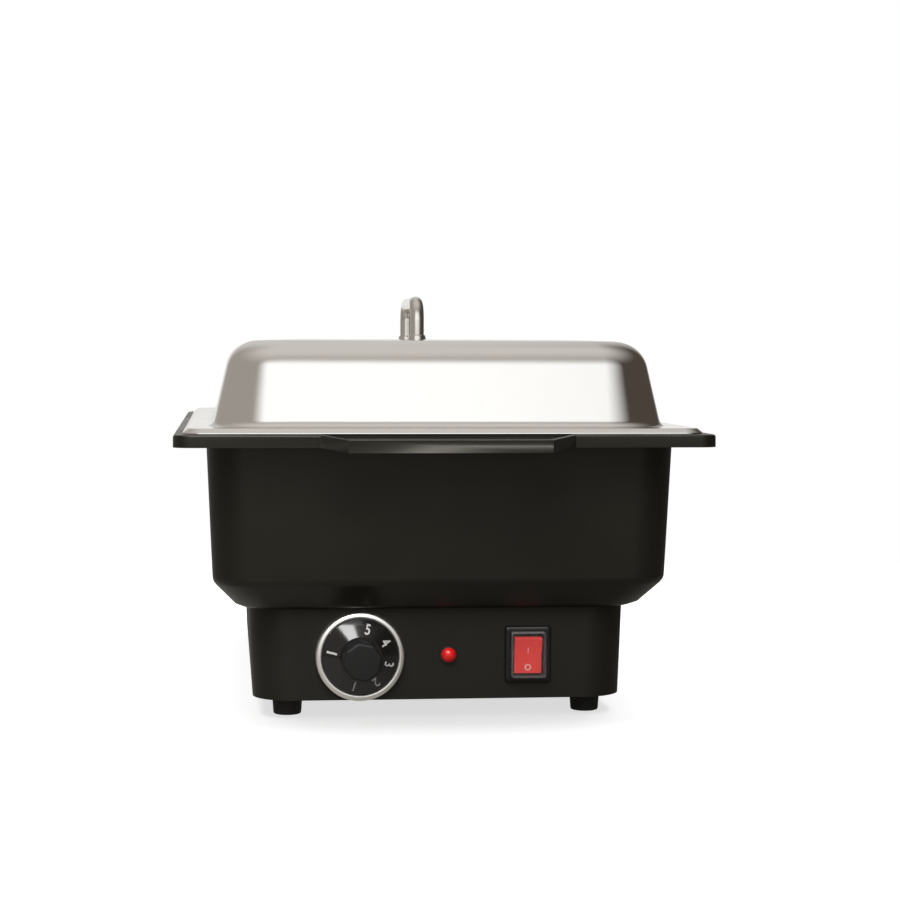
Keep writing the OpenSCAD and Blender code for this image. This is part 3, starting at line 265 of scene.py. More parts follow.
def boxed(name, rings, steps):
    """A piece with round corners along Z: a plane cut to the first ring, extruded to each next one.
    A ring is (width, length, corner radius, height)."""
    w, l, r, z = rings[0]
    piece = begin(name, bpy.ops.mesh.primitive_plane_add, size=1, location=(0, 0, z))
    bpy.ops.transform.resize(value=(w, l, 1), center_override=(0, 0, z))
    bpy.ops.mesh.bevel(affect="VERTICES", offset=r, offset_type="OFFSET", segments=steps, profile=0.5)
    bpy.ops.mesh.select_all(action="SELECT")
    for old, new in zip(rings, rings[1:]):
        grow(old, new)
    return piece


def grow(old, new):
    """Extrudes the picked end to a new ring, each corner about its own middle."""
    w0, l0, r0, z0 = old
    w1, l1, r1, z1 = new
    extrude(0, 0, z1 - z0)
    data = bpy.context.object.data
    mesh = bmesh.from_edit_mesh(data)
    mesh.verts.index_update()
    ring = [(v.index, v.co.x > 0, v.co.y > 0) for v in mesh.verts if v.select]
    for right in (False, True):
        for back in (False, True):
            x, y = (1 if right else -1), (1 if back else -1)
            corner = {i for i, a, b in ring if a == right and b == back}
            hold(corner)
            spot = (x * (w0 / 2 - r0), y * (l0 / 2 - r0), z1)
            if r1 != r0:
                bpy.ops.transform.resize(value=(r1 / r0, r1 / r0, 1), center_override=spot)
            step = (x * (w1 / 2 - r1) - spot[0], y * (l1 / 2 - r1) - spot[1], 0)
            bpy.ops.transform.translate(value=step)
    hold({i for i, a, b in ring})


def hold(indices):
    data = bpy.context.object.data
    mesh = bmesh.from_edit_mesh(data)
    mesh.verts.ensure_lookup_table()
    for part in (mesh.faces, mesh.edges, mesh.verts):
        for item in part:
            item.select_set(False)
    for i in indices:
        mesh.verts[i].select_set(True)
    mesh.select_mode = {"VERT"}
    mesh.select_flush(True)
    mesh.select_flush_mode()
    bmesh.update_edit_mesh(data)


def open_bottom():
    """Takes a boxed piece's first face away, so that the piece becomes a sheet.
    That face lies in the object's own ground plane, because the piece is begun there."""
    if pick("faces", lambda f: all(abs(v.co.z) < 1e-7 for v in f.verts)) != 1:
        raise RuntimeError("the piece has no single first face to take away")
    bpy.ops.mesh.delete(type="ONLY_FACE")


def lettered(name, text, height, width_share, bold=0.012):
    """A printed mark: text made a thin mesh, flat at the origin with its middle there."""
    clear_bench()
    bpy.ops.object.text_add(location=(0, 0, 0))
    mark = bpy.context.object
    mark.data.body = text
    mark.data.align_x = mark.data.align_y = "CENTER"
    mark.data.extrude = INK / 2
    mark.data.size = 1.0
    mark.data.offset = bold
    bpy.ops.object.convert(target="MESH")
    mark = bpy.context.object
    mark.name = mark.data.name = name
    low = Vector([min(v.co[k] for v in mark.data.vertices) for k in range(3)])
    high = Vector([max(v.co[k] for v in mark.data.vertices) for k in range(3)])
    scale = height / (high.y - low.y)
    grow_to = Matrix.Diagonal((scale * width_share, scale, INK / (high.z - low.z), 1))
    mark.matrix_world = grow_to @ Matrix.Translation(-(low + high) / 2)
    return settle(mark)


def joined(name, parts):
    clear_bench()
    for part in parts:
        part.select_set(True)
    bpy.context.view_layer.objects.active = parts[0]
    bpy.ops.object.join()
    piece = bpy.context.object
    piece.name = piece.data.name = name
    return piece


def dressed(name, node, edge, first=None):
    """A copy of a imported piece, merged to one skin, with its moulded edges eased."""
    clear_bench()
    piece = bpy.data.objects.new(name, nodes[node].data.copy())
    piece.data.name = name
    bpy.context.scene.collection.objects.link(piece)
    take(piece)
    bpy.ops.object.mode_set(mode="EDIT")
    bpy.ops.mesh.select_all(action="SELECT")
    bpy.ops.mesh.remove_doubles(threshold=2e-6)
    bpy.ops.mesh.dissolve_limited(angle_limit=math.radians(0.4))
    if first:
        first()
    bpy.ops.object.mode_set(mode="OBJECT")
    ease_edges(piece, edge)
    return polish(piece)


# Finishes


class Recipe:
    """The nodes of a material or of the studio's air, with a few words to write them in."""

    def __init__(self, tree):
        self.tree = tree

    def add(self, kind, **values):
        node = self.tree.nodes.new(kind)
        for key, value in values.items():
            setattr(node, key, value)
        return node

    def feed(self, node, key, value):
        if isinstance(value, (int, float)):
            node.inputs[key].default_value = value
        elif isinstance(value, tuple):
            node.inputs[key].default_value = (*value, 1)
        else:
            self.tree.links.new(value, node.inputs[key])

    def noise(self, place, scale, detail):
        node = self.add("ShaderNodeTexNoise")
        self.feed(node, "Vector", place)
        self.feed(node, "Scale", scale)
        self.feed(node, "Detail", detail)
        return node.outputs["Fac"]

    def sum(self, operation, *values):
        node = self.add("ShaderNodeMath", operation=operation)
        for k, value in enumerate(values):
            self.feed(node, k, value)
        return node.outputs["Value"]

    def ramp(self, value, start, end, kind="SMOOTHSTEP"):
        """0 before start, 1 after end, and a step between them."""
        node = self.add("ShaderNodeMapRange", interpolation_type=kind)
        self.feed(node, "Value", value)
        self.feed(node, "From Min", start)
        self.feed(node, "From Max", end)
        return node.outputs["Result"]

    def mix(self, share, first, second):
        node = self.add("ShaderNodeMix", data_type="RGBA")
        self.feed(node, "Factor", share)
        self.feed(node, "A", first)
        self.feed(node, "B", second)
        return node.outputs["Result"]

    def shader(self, share, first, second):
        node = self.add("ShaderNodeMixShader")
        self.feed(node, "Fac", share)
        self.feed(node, 1, first)
        self.feed(node, 2, second)
        return node.outputs["Shader"]

    def glow(self, kind, colour, strength=1.0):
        node = self.add(kind)
        self.feed(node, "Color", colour)
        self.feed(node, "Strength", strength)
        return node.outputs[0]

    def by_ray(self, rough, gloss, seen):
        """A shader for rough reflections, one for glossy ones, and one for what the camera sees."""
        path = self.add("ShaderNodeLightPath").outputs
        straight = self.sum("MAXIMUM", path["Is Camera Ray"], path["Is Transmission Ray"])
        return self.shader(straight, self.shader(path["Is Glossy Ray"], rough, gloss), seen)


def finish(
    name, shade, metal=0.0, rough=0.5, spread=0.06, grain=900.0, depth=0.00002, mottle=25.0,
    tone=0.08, stretch=(1, 1, 1), **sockets
):
    """A finish with a fine grain in its relief and a broad unevenness in its shade and gloss."""
    material = bpy.data.materials.new(name)
    material.use_nodes = True
    recipe = Recipe(material.node_tree)
    shader = recipe.tree.nodes["Principled BSDF"]
    place = recipe.add("ShaderNodeTexCoord").outputs["Object"]
    run = recipe.add("ShaderNodeMapping")
    run.inputs["Scale"].default_value = stretch
    recipe.feed(run, "Vector", place)
    fine = recipe.noise(run.outputs["Vector"], grain, 3)
    broad = recipe.noise(place, mottle, 4)
    relief = recipe.add("ShaderNodeBump")
    recipe.feed(relief, "Distance", depth)
    recipe.feed(relief, "Strength", 0.6)
    recipe.feed(relief, "Height", fine)
    recipe.feed(shader, "Normal", relief.outputs["Normal"])
    gloss = recipe.add("ShaderNodeMapRange")
    for key, value in (
        ("Value", broad), ("From Min", 0.3), ("From Max", 0.7), ("To Min", max(rough - spread, 0.02)),
        ("To Max", min(rough + spread, 1.0)),
    ):
        recipe.feed(gloss, key, value)
    recipe.feed(shader, "Roughness", gloss.outputs["Result"])
    dark, light = (tuple(min(c * share, 1) for c in shade) for share in (1 - tone, 1 + tone))
    recipe.feed(shader, "Base Color", recipe.mix(broad, dark, light))
    recipe.feed(shader, "Metallic", metal)
    for key, value in sockets.items():
        recipe.feed(shader, key.replace("_", " "), value)
    return material


def paint(piece, material):
    piece.data.materials.clear()
    piece.data.materials.append(material)
    return piece


def paint_nodes(material, *names):
    for name in names:
        nodes[name].data.materials.clear()
        nodes[name].data.materials.append(material)


def rises(piece, body, *stood_for):
    """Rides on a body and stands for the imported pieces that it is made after."""
    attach(piece, body)
    if stood_for:
        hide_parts(*stood_for)
    return piece


def shades():
    return bpy.context.scene.dish_colours


def sizes():
    return bpy.context.scene.dish_sizes


def zinc():
    return bpy.data.materials.get("zinc_plate") or finish(
        "zinc_plate", (0.55, 0.55, 0.53), metal=1.0, rough=0.34, grain=1800, depth=0.00001, tone=0.12
    )


class DISH_OT_tub(bpy.types.Operator):
    """Moulded water tub with its flange and end grips"""

    bl_idname = "dish.tub"
    bl_label = "Tub"

    def round_flange(self):
        """Rounds the flange's outer edges over, more on its top than below."""
        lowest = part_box("tub")[1].z - 14 * MM
        level, upright, outward = 0.6, 0.35, 0.18

        def outer(edge, up):
            if len(edge.link_faces) != 2 or min(v.co.z for v in edge.verts) < lowest:
                return False
            flat, side = sorted((f.normal for f in edge.link_faces), key=lambda n: -abs(n.z))
            spot = (edge.verts[0].co + edge.verts[1].co) / 2
            out = side.x * spot.x + side.y * spot.y > outward * math.hypot(spot.x, spot.y)
            return up * flat.z > level and abs(side.z) < upright and out

        for up, width in ((1, sizes().flange_edge), (-1, sizes().flange_edge / 2)):
            if not pick("edges", lambda e: outer(e, up)):
                raise RuntimeError("the flange has no outer edge to round")
            bpy.ops.mesh.bevel(offset=width, segments=4, affect="EDGES", clamp_overlap=True)

    def execute(self, context):
        tub = dressed("water_tub", "tub", sizes().tub_edge, first=self.round_flange)
        plastic = finish(
            "satin_black_plastic", shades().tub, rough=0.33, spread=0.04, grain=1400, depth=0.000035,
            mottle=14, tone=0.16, Specular_IOR_Level=0.3, Specular_Tint=WARM_SHEEN,
        )
        rises(paint(tub, plastic), "dish_base", "tub")
        return {"FINISHED"}


class DISH_OT_base(bpy.types.Operator):
    """Control base under the tub"""

    bl_idname = "dish.control_base"
    bl_label = "Control base"

    def execute(self, context):
        base = dressed("control_base", "base_housing", sizes().base_edge)
        plastic = finish(
            "fine_textured_plastic", shades().base, rough=0.5, spread=0.05, grain=2000, depth=0.00003,
            mottle=18, tone=0.16, Specular_IOR_Level=0.25, Specular_Tint=WARM_SHEEN,
        )
        rises(paint(base, plastic), "dish_base", "base_housing")
        return {"FINISHED"}


class DISH_OT_underside(bpy.types.Operator):
    """Bottom cover with its vents, and the screws in it"""

    bl_idname = "dish.underside"
    bl_label = "Underside"

    def execute(self, context):
        cover = dressed("vented_cover", "bottom_cover", 0.3 * MM)
        coat = finish(
            "powder_coat", shades().cover, rough=0.55, grain=1500, depth=0.00005, mottle=30, tone=0.1,
            Specular_IOR_Level=0.4,
        )
        rises(paint(cover, coat), "dish_base", "bottom_cover")
        paint_nodes(zinc(), "foot_screws", "foot_nuts", "tie_screws")
        return {"FINISHED"}


class DISH_OT_feet(bpy.types.Operator):
    """Four rubber feet with rounded rims, each round its own screw"""

    bl_idname = "dish.feet"
    bl_label = "Feet"

    def execute(self, context):
        rubber = finish(
            "matt_rubber", shades().rubber, rough=0.72, grain=1600, depth=0.00004, mottle=60, tone=0.15,
            Specular_IOR_Level=0.3,
        )
        top, tall = (foot_high.x - foot_low.x) / 2, foot_high.z
        foot_r, head_r, bolt_r, seat = top - 1 * MM, 4.15 * MM, 2.2 * MM, 5.6 * MM
        profile = [
            (4.5 * MM, 0), (foot_r - 1.2 * MM, 0), (foot_r - 0.35 * MM, 0.35 * MM), (foot_r, 1.2 * MM),
            (top - 0.15 * MM, tall - 1.6 * MM), (top, tall - 0.9 * MM), (top, tall), (bolt_r, tall),
            (bolt_r, seat), (head_r, seat), (head_r, 0.4 * MM),
        ]
        for name in ("foot_front_left", "foot_front_right", "foot_rear_left", "foot_rear_right"):
            low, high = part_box(name)
            foot = polish(turned("rubber_" + name, profile, 64, loop=True))
            settle(foot, ((low.x + high.x) / 2, (low.y + high.y) / 2, 0))
            rises(paint(foot, rubber), "dish_base", name)
        return {"FINISHED"}


def satin_steel():
    return bpy.data.materials.get("satin_steel") or finish(
        "satin_steel", shades().pan, metal=1.0, rough=0.3, spread=0.05, grain=700, depth=0.000005,
        mottle=12, tone=0.05, stretch=(1, 0.04, 1),
    )


class DISH_OT_pan(bpy.types.Operator):
    """Rectangular food pan, pressed from one sheet"""

    bl_idname = "dish.food_pan"
    bl_label = "Food pan"

    def execute(self, context):
        sheet = sizes().sheet
        w, l = pan_high.x - pan_low.x, pan_high.y - pan_low.y
        top, low = pan_high.z, pan_low.z
        ledge, edge_r, corner = top - 5.4 * MM, 1.8 * MM, 24 * MM
        rim, draft, well, throat = 13.5 * MM, 6 * MM, 12 * MM, 2.6 * MM
        body_w, body_l, body_r = w - 2 * (rim + sheet), l - 2 * (rim + sheet), 29.2 * MM
        rings = [(w, l, corner, ledge), (w, l, corner, top - edge_r)]
        for a in quarter(4)[1:]:
            drop = edge_r * (1 - math.cos(a))
            rings.append((w - 2 * drop, l - 2 * drop, corner - drop, top - edge_r * (1 - math.sin(a))))
        for a in quarter(4):
            out = throat * (1 - math.sin(a))
            fall = throat * (1 - math.cos(a))
            rings.append((body_w + 2 * out, body_l + 2 * out, body_r + out, top - fall))
        floor = low + sheet
        soft = well - sheet
        for a in quarter(8):
            turn_in = soft * (1 - math.cos(a))
            inset = draft + turn_in
            rings.append((
                body_w - 2 * inset, body_l - 2 * inset, body_r - 0.45 * turn_in - 1 * MM,
                floor + soft * (1 - math.sin(a)),
            ))
        pan = boxed("steel_food_pan", rings, steps=14)
        open_bottom()
        close_up(pan)
        settle(pan)
        apply_modifier(pan, "SOLIDIFY", thickness=sheet, offset=-1, use_even_offset=True)
        polish(pan, 40)
        rises(paint(pan, satin_steel()), "food_pan", "food_pan")
        return {"FINISHED"}


class DISH_OT_lid(bpy.types.Operator):
    """Domed lid, pressed from one polished sheet"""

    bl_idname = "dish.lid"
    bl_label = "Lid"

    def execute(self, context):
        sheet = sizes().sheet
        w, l = lid_high.x - lid_low.x, lid_high.y - lid_low.y
        lip_z, crown_z = lid_low.z, lid_high.z
        lip, flat, rim_r = 3.4 * MM, 11 * MM, 14 * MM
        foot_r, top_r, lean = 6 * MM, 22 * MM, math.radians(13)
        rim_z = pan_high.z + sheet
        top_z = crown_z - 1 * MM
        foot_w, foot_l, corner = w - 2 * (lip + flat), l - 2 * (lip + flat), 38 * MM
        flare, flare_run = 14 * MM, 7 * MM
        wall_run = (top_z - rim_z - (foot_r + top_r) * (1 - math.sin(lean))) * math.tan(lean)
        top_in = (foot_r + top_r) * math.cos(lean) + wall_run
        arc = math.pi / 2 - lean

        def wall(inset, z):
            wide = flare * math.exp(-inset / flare_run)
            return (foot_w - 2 * inset, foot_l - 2 * inset, corner - 0.4 * inset + wide, z)

        rings = [
            (w, l, rim_r, lip_z), (w, l, rim_r, lip_z + 0.6 * sheet),
            (w - 0.3 * MM, l - 0.3 * MM, rim_r, lip_z + sheet),
            (w - 2 * lip + 1.2 * MM, l - 2 * lip + 1.2 * MM, rim_r - lip + 1 * MM, rim_z - 0.5 * MM),
            (w - 2 * lip, l - 2 * lip, rim_r - lip, rim_z - 0.1 * MM),
            (w - 2 * lip - 1.2 * MM, l - 2 * lip - 1.2 * MM, rim_r - lip, rim_z),
            wall(0, rim_z),
        ]
        for k in range(1, 7):
            a = arc * k / 6
            rings.append(wall(foot_r * math.sin(a), rim_z + foot_r * (1 - math.cos(a))))
        for k in range(15):
            a = lean + arc * k / 14
            rings.append(wall(top_in - top_r * math.cos(a), top_z - top_r * (1 - math.sin(a))))
        run = sizes().lid_crown
        for k in range(1, 7):
            t = k / 6
            rings.append(wall(top_in + run * t, top_z + (crown_z - top_z) * math.sin(t * math.pi / 2)))
        lid = boxed("lid_dome", rings, steps=16)
        open_bottom()
        close_up(lid)
        settle(lid)
        apply_modifier(lid, "SOLIDIFY", thickness=sheet, offset=-1, use_even_offset=True)
        polish(lid, 60)
        mirror = finish(
            "polished_steel", shades().lid, metal=1.0, rough=0.12, spread=0.02, grain=9, depth=0.0010,
            mottle=7, tone=0.03,
        )
        rises(paint(lid, mirror), "lid", "lid_shell")
        paint_nodes(zinc(), "handle_screws", "handle_washers")
        return {"FINISHED"}


class DISH_OT_handle(bpy.types.Operator):
    """Bow handle of the lid and the two ferrules that it stands on"""

    bl_idname = "dish.lid_handle"
    bl_label = "Lid handle"

    def execute(self, context):
        rod, bend = sizes().rod, sizes().handle_bend
        leg = (handle_high.y - handle_low.y - rod) / 2
        foot_z, top_z = handle_low.z, handle_high.z - rod / 2
        bow = begin(
            "handle_bow", bpy.ops.mesh.primitive_circle_add, vertices=32, radius=rod / 2, fill_type="NGON",
            location=(0, -leg, foot_z),
        )
        extrude(0, 0, top_z - bend - foot_z)
        for y, run in ((bend - leg, (0, 2 * (leg - bend), 0)), (leg - bend, (0, 0, foot_z + bend - top_z))):
            bpy.ops.mesh.spin(
                steps=14, angle=math.pi / 2, center=(0, y, top_z - bend), axis=(1, 0, 0), use_auto_merge=False
            )
            extrude(*run)
        close_up(bow)
        settle(bow)
        polish(bow, 50)
        bright = finish(
            "bright_rod", shades().handle, metal=1.0, rough=0.12, spread=0.03, grain=900, depth=0.000004,
            mottle=40, tone=0.04,
        )
        rises(paint(bow, bright), "lid", "lid_handle")
        base_r = (collar_high.x - collar_low.x) / 2
        low, high = collar_low.z, collar_high.z
        neck, bore = rod / 2 + 0.5 * MM, 2.7 * MM
        profile = [
            (bore, low), (base_r - 0.3 * MM, low), (base_r, low + 0.3 * MM), (base_r, low + 0.9 * MM),
            (base_r - 0.25 * MM, low + 1.3 * MM), (neck + 0.5 * MM, high - 0.9 * MM),
            (neck + 0.2 * MM, high - 0.3 * MM), (neck - 0.2 * MM, high), (bore, high),
        ]
        collars = [settle(turned("collar", profile, 48, loop=True), (0, y, 0)) for y in (-leg, leg)]
        ferrules = polish(joined("handle_collars", collars), 40)
        rises(paint(ferrules, bright), "lid", "handle_ferrules")
        return {"FINISHED"}


class DISH_OT_knob(bpy.types.Operator):
    """Knob with its numbered skirt, and the spring clip inside it"""

    bl_idname = "dish.knob"
    bl_label = "Knob"

    def execute(self, context):
        x = (knob_low.x + knob_high.x) / 2
        skirt, grip = sizes().skirt / 2, sizes().grip / 2
        back, front = panel_y - knob_high.y, panel_y - knob_low.y
        bore, cone, cone_r, taper = 3.2 * MM, 13.8 * MM, grip + 0.6 * MM, 0.3 * MM
        rim_z = back + 4 * MM
        black = finish(
            "gloss_black", shades().knob, rough=0.1, spread=0.01, grain=700, depth=0.000004, mottle=60,
            tone=0.2, Specular_IOR_Level=0.65,
        )
        matt = finish(
            "matt_black", [1.1 * c for c in shades().knob], rough=0.5, spread=0.04, grain=2200, depth=0.00003,
            mottle=60, tone=0.15, Specular_IOR_Level=0.25,
        )
        skirt_piece = turned("knob_skirt", [
            (bore, back), (skirt - 0.4 * MM, back), (skirt, back + 0.4 * MM), (skirt, rim_z - 0.5 * MM),
            (skirt - 0.15 * MM, rim_z - 0.15 * MM), (skirt - 0.5 * MM, rim_z + 0.25 * MM), (cone_r, cone),
            (bore, cone),
        ], 96, loop=True)
        grip_piece = turned("knob_grip", [(grip + taper, cone - 2 * MM), (grip, front), (0, front)], 8)
        take(grip_piece)
        bpy.ops.object.mode_set(mode="EDIT")
        pick("edges", lambda e: abs(e.verts[0].co.z - e.verts[1].co.z) > MM)
        bpy.ops.mesh.bevel(offset=2.2 * MM, segments=4, affect="EDGES")
        close_up(grip_piece)
        ease_edges(grip_piece, 1.2 * MM, 4, 50)
        settle(grip_piece, turn=(0, 0, sizes().off_turn + math.pi / 8))
        skirt_piece.data.materials.append(black)
        grip_piece.data.materials.append(matt)
        knob = joined("numbered_knob", [skirt_piece, grip_piece])
        polish(on_panel(knob, x), 30)
        rises(knob, "control_knob", "knob")

        slope = math.atan2(cone - rim_z, skirt - cone_r)
        mid_r, mid_z = (skirt + cone_r) / 2 - 0.5 * MM, (rim_z + cone) / 2 + 0.46 * MM
        marks = []
        for k, text in enumerate(["", "5", "4", "3", "2", "1"]):
            where = sizes().off_turn
            if text:
                where -= sizes().first_mark + (k - 1) * sizes().mark_pitch
                mark = lettered("mark", text, sizes().mark, 0.72)
            else:
                mark = begin("mark", bpy.ops.mesh.primitive_plane_add, size=1)
                bpy.ops.transform.resize(value=(1.5 * MM, sizes().mark, 1))
                bpy.ops.mesh.bevel(affect="VERTICES", offset=0.5 * MM, segments=4)
                bpy.ops.mesh.select_all(action="SELECT")
                extrude(0, 0, INK)
                close_up(mark)
            settle(mark, turn=(-slope, 0, 0))
            spot = (mid_r * math.cos(where), mid_r * math.sin(where), mid_z)
            settle(mark, spot, (0, 0, where - math.pi / 2))
            marks.append(mark)
        dial = on_panel(joined("dial_marks", marks), x)
        ink = finish(
            "pale_ink", shades().marks, rough=0.5, grain=3000, depth=0.00001, mottle=200, tone=0.12
        )
        rises(paint(dial, ink), "control_knob")
        paint_nodes(zinc(), "knob_clip")
        return {"FINISHED"}


class DISH_OT_ring(bpy.types.Operator):
    """Chromed ring round the knob"""

    bl_idname = "dish.knob_ring"
    bl_label = "Knob ring"

    def execute(self, context):
        x = (ring_low.x + ring_high.x) / 2
        r, tall = (ring_high.x - ring_low.x) / 2, panel_y - ring_low.y
        plate, bore = 1.2 * MM, 5.2 * MM
        shoulder, brow, crest, inner = 2.2 * MM, 2.4 * MM, 0.25 * MM, r - 4.3 * MM
        profile = [(bore, 0), (r, 0)]
        for a in quarter(8):
            profile.append((r - shoulder * (1 - math.cos(a)), tall - crest - brow * (1 - math.sin(a))))
        profile += [
            (r - 0.6 * (r - inner), tall), (inner + 0.9 * MM, tall - 0.1 * MM),
            (inner + 0.3 * MM, tall - 0.4 * MM), (inner, tall - 0.9 * MM), (inner, plate), (bore, plate),
        ]
        ring = polish(on_panel(turned("chrome_ring", profile, 128, loop=True), x), 50)
        chrome = finish(
            "chrome", shades().chrome, metal=1.0, rough=0.36, spread=0.03, grain=400, depth=0.000006,
            mottle=90, tone=0.06,
        )
        rises(paint(ring, chrome), "dish_base", "knob_bezel")
        return {"FINISHED"}


class DISH_OT_pilot(bpy.types.Operator):
    """Red pilot light with its collar"""

    bl_idname = "dish.pilot_light"
    bl_label = "Pilot light"

    def execute(self, context):
        x = (lens_low.x + lens_high.x) / 2
        brim, tall = (lens_high.x - lens_low.x) / 2, panel_y - lens_low.y
        r, flange, edge = brim - 1 * MM, 1.2 * MM, 0.3 * MM
        profile = [(brim - edge, 0), (brim, edge), (brim, flange - edge), (brim - edge, flange), (r, flange)]
        for a in quarter(12)[1:-1]:
            profile.append((r * math.cos(a), flange + (tall - flange) * math.sin(a)))
        lens = on_panel(turned("pilot_dome", profile + [(0, tall)], 64), x)
        polish(lens, 40)
        red = finish(
            "red_lens", shades().lens, rough=0.26, spread=0.03, grain=500, depth=0.000003, mottle=150,
            tone=0.1, Specular_IOR_Level=0.45,
        )
        black = finish(
            "pilot_black", shades().knob, rough=0.35, grain=1800, depth=0.00001, mottle=80, tone=0.15
        )
        lens.data.materials.clear()
        lens.data.materials.append(red)
        lens.data.materials.append(black)
        for face in lens.data.polygons:
            if face.center.y > panel_y - flange - 0.1 * MM:
                face.material_index = 1
        rises(lens, "dish_base", "pilot_lens")
        white = finish("nylon", (0.62, 0.6, 0.52), rough=0.5, grain=1200, mottle=60)
        paint_nodes(white, "pilot_body", "terminal_block")
        paint_nodes(zinc(), "pilot_nut")
        return {"FINISHED"}


class DISH_OT_switch(bpy.types.Operator):
    """Rocker switch: its frame, the red rocker with its marks, and the clear cover over it"""

    bl_idname = "dish.switch"
    bl_label = "Switch"

    def execute(self, context):
        x = (switch_low.x + switch_high.x) / 2
        w, h = switch_high.x - switch_low.x, switch_high.z - switch_low.z
        lip = panel_y - switch_low.y
        deep = switch_high.y - panel_y
        seat, well = 1.2 * MM, -10 * MM
        seat_w, seat_h = 23.8 * MM, 31.6 * MM
        hole_w, hole_h = 19.8 * MM, 27.3 * MM
        frame_piece = boxed("switch_frame", [
            (22 * MM, 28 * MM, 0.4 * MM, -deep), (22 * MM, 28 * MM, 0.4 * MM, 0),
            (w - 0.4 * MM, h - 0.4 * MM, 1.8 * MM, 0), (w, h, 2 * MM, 0.3 * MM), (w, h, 2 * MM, 0.5 * lip),
            (w - 0.4 * lip, h - 0.4 * lip, 1.9 * MM, 0.82 * lip), (w - lip, h - lip, 1.8 * MM, lip),
            (seat_w + 0.6 * MM, seat_h + 0.6 * MM, 0.9 * MM, lip), (seat_w, seat_h, 0.7 * MM, lip - 0.3 * MM),
            (seat_w, seat_h, 0.7 * MM, seat), (hole_w + 0.4 * MM, hole_h + 0.4 * MM, 0.5 * MM, seat),
            (hole_w, hole_h, 0.4 * MM, seat - 0.2 * MM), (hole_w, hole_h, 0.4 * MM, well),
        ], steps=6)
        close_up(frame_piece)
        polish(on_panel(settle(frame_piece), x), 40)
        black = finish(
            "switch_black", [0.8 * c for c in shades().knob], rough=0.34, spread=0.04, grain=1800,
            depth=0.00001, mottle=80, tone=0.2, Specular_IOR_Level=0.35,
        )
        rises(paint(frame_piece, black), "dish_base", "switch_housing")

        rw, rl = 18.8 * MM, 24.8 * MM
        end_h, mid_h, pivot = 3.6 * MM, 1.8 * MM, -2 * MM
        rocker = begin("rocker_key", bpy.ops.mesh.primitive_plane_add, size=1, location=(0, 0, 1 * MM))
        bpy.ops.transform.resize(value=(rw, rl, 1), center_override=(0, 0, 1 * MM))
        extrude(0, 0, end_h - pivot - 1 * MM)
        bpy.ops.mesh.select_all(action="SELECT")
        bpy.ops.mesh.bisect(plane_co=(0, 0, 0), plane_no=(0, 1, 0))
        pick("verts", lambda v: abs(v.co.y) < 1e-6 and v.co.z > 2 * MM)
        bpy.ops.transform.translate(value=(0, 0, mid_h - end_h))
        pick("verts", lambda v: abs(v.co.y) < 1e-6 and v.co.z < 2 * MM)
        bpy.ops.transform.translate(value=(0, 0, -5 * MM))
        close_up(rocker)
        ease_edges(rocker, 0.45 * MM, 3, 20)
        settle(rocker, turn=(sizes().rocker_tilt, 0, 0))
        settle(rocker, (0, 0, pivot))
        pins = turned("pin", [(1 * MM, -rw / 2 - 1.3 * MM), (1 * MM, rw / 2 + 1.3 * MM)], 24)
        settle(pins, (0, 0, pivot), (0, math.pi / 2, 0))
        key = polish(on_panel(joined("rocker_key", [rocker, pins]), x), 35)
        red = finish(
            "red_rocker", shades().rocker, rough=0.22, spread=0.04, grain=700, depth=0.000004, mottle=120,
            tone=0.1, Specular_IOR_Level=0.5,
        )
        rises(paint(key, red), "rocker", "switch_rocker")
        slope = math.atan2(end_h - mid_h, rl / 2)
        marks = []
        for text, tall, side, share in (("I", 3.8 * MM, 1, 0.3), ("O", 4.4 * MM, -1, 0.66)):
            mark = lettered("rocker_mark", text, tall, 0.95, bold=0.03)
            along = share * rl / 2
            settle(mark, turn=(side * slope, 0, 0))
            settle(mark, (0, side * along, mid_h - pivot + along * math.tan(slope)))
            settle(mark, turn=(sizes().rocker_tilt, 0, 0))
            settle(mark, (0, 0, pivot))
            marks.append(mark)
        ink = finish(
            "rocker_ink", (0.84, 0.42, 0.4), rough=0.4, grain=3000, depth=0.00001, mottle=200, tone=0.1
        )
        rises(paint(on_panel(joined("rocker_marks", marks), x), ink), "rocker")

        cw, ch = cover_high.x - cover_low.x, cover_high.z - cover_low.z
        rise = panel_y - cover_low.y
        cover = boxed("clear_cover", [
            (cw, ch, 1.6 * MM, seat), (cw, ch, 1.6 * MM, rise - 1.4 * MM),
            (cw - 0.3 * MM, ch - 0.3 * MM, 1.5 * MM, rise - 0.7 * MM),
            (cw - 0.9 * MM, ch - 0.9 * MM, 1.3 * MM, rise - 0.2 * MM),
            (cw - 1.8 * MM, ch - 1.8 * MM, 1.0 * MM, rise),
        ], steps=8)
        open_bottom()
        close_up(cover)
        settle(cover)
        apply_modifier(cover, "SOLIDIFY", thickness=0.8 * MM, offset=-1, use_even_offset=True)
        polish(on_panel(cover, x), 50)
        clear = finish(
            "clear_silicone", (0.4, 0.37, 0.36), rough=0.12, spread=0.03, grain=300, depth=0.00001, mottle=60,
            tone=0.04, Specular_IOR_Level=0.8,
        )
        recipe = Recipe(clear.node_tree)
        slant, veil = recipe.add("ShaderNodeLayerWeight"), recipe.add("ShaderNodeMapRange")
        recipe.feed(slant, "Blend", 0.4)
        recipe.feed(veil, "To Min", 0.02)
        recipe.feed(veil, "To Max", 0.6)
        recipe.feed(veil, "Value", slant.outputs["Facing"])
        recipe.feed(clear.node_tree.nodes["Principled BSDF"], "Alpha", veil.outputs["Result"])
        rises(paint(cover, clear), "dish_base", "switch_boot")
        return {"FINISHED"}


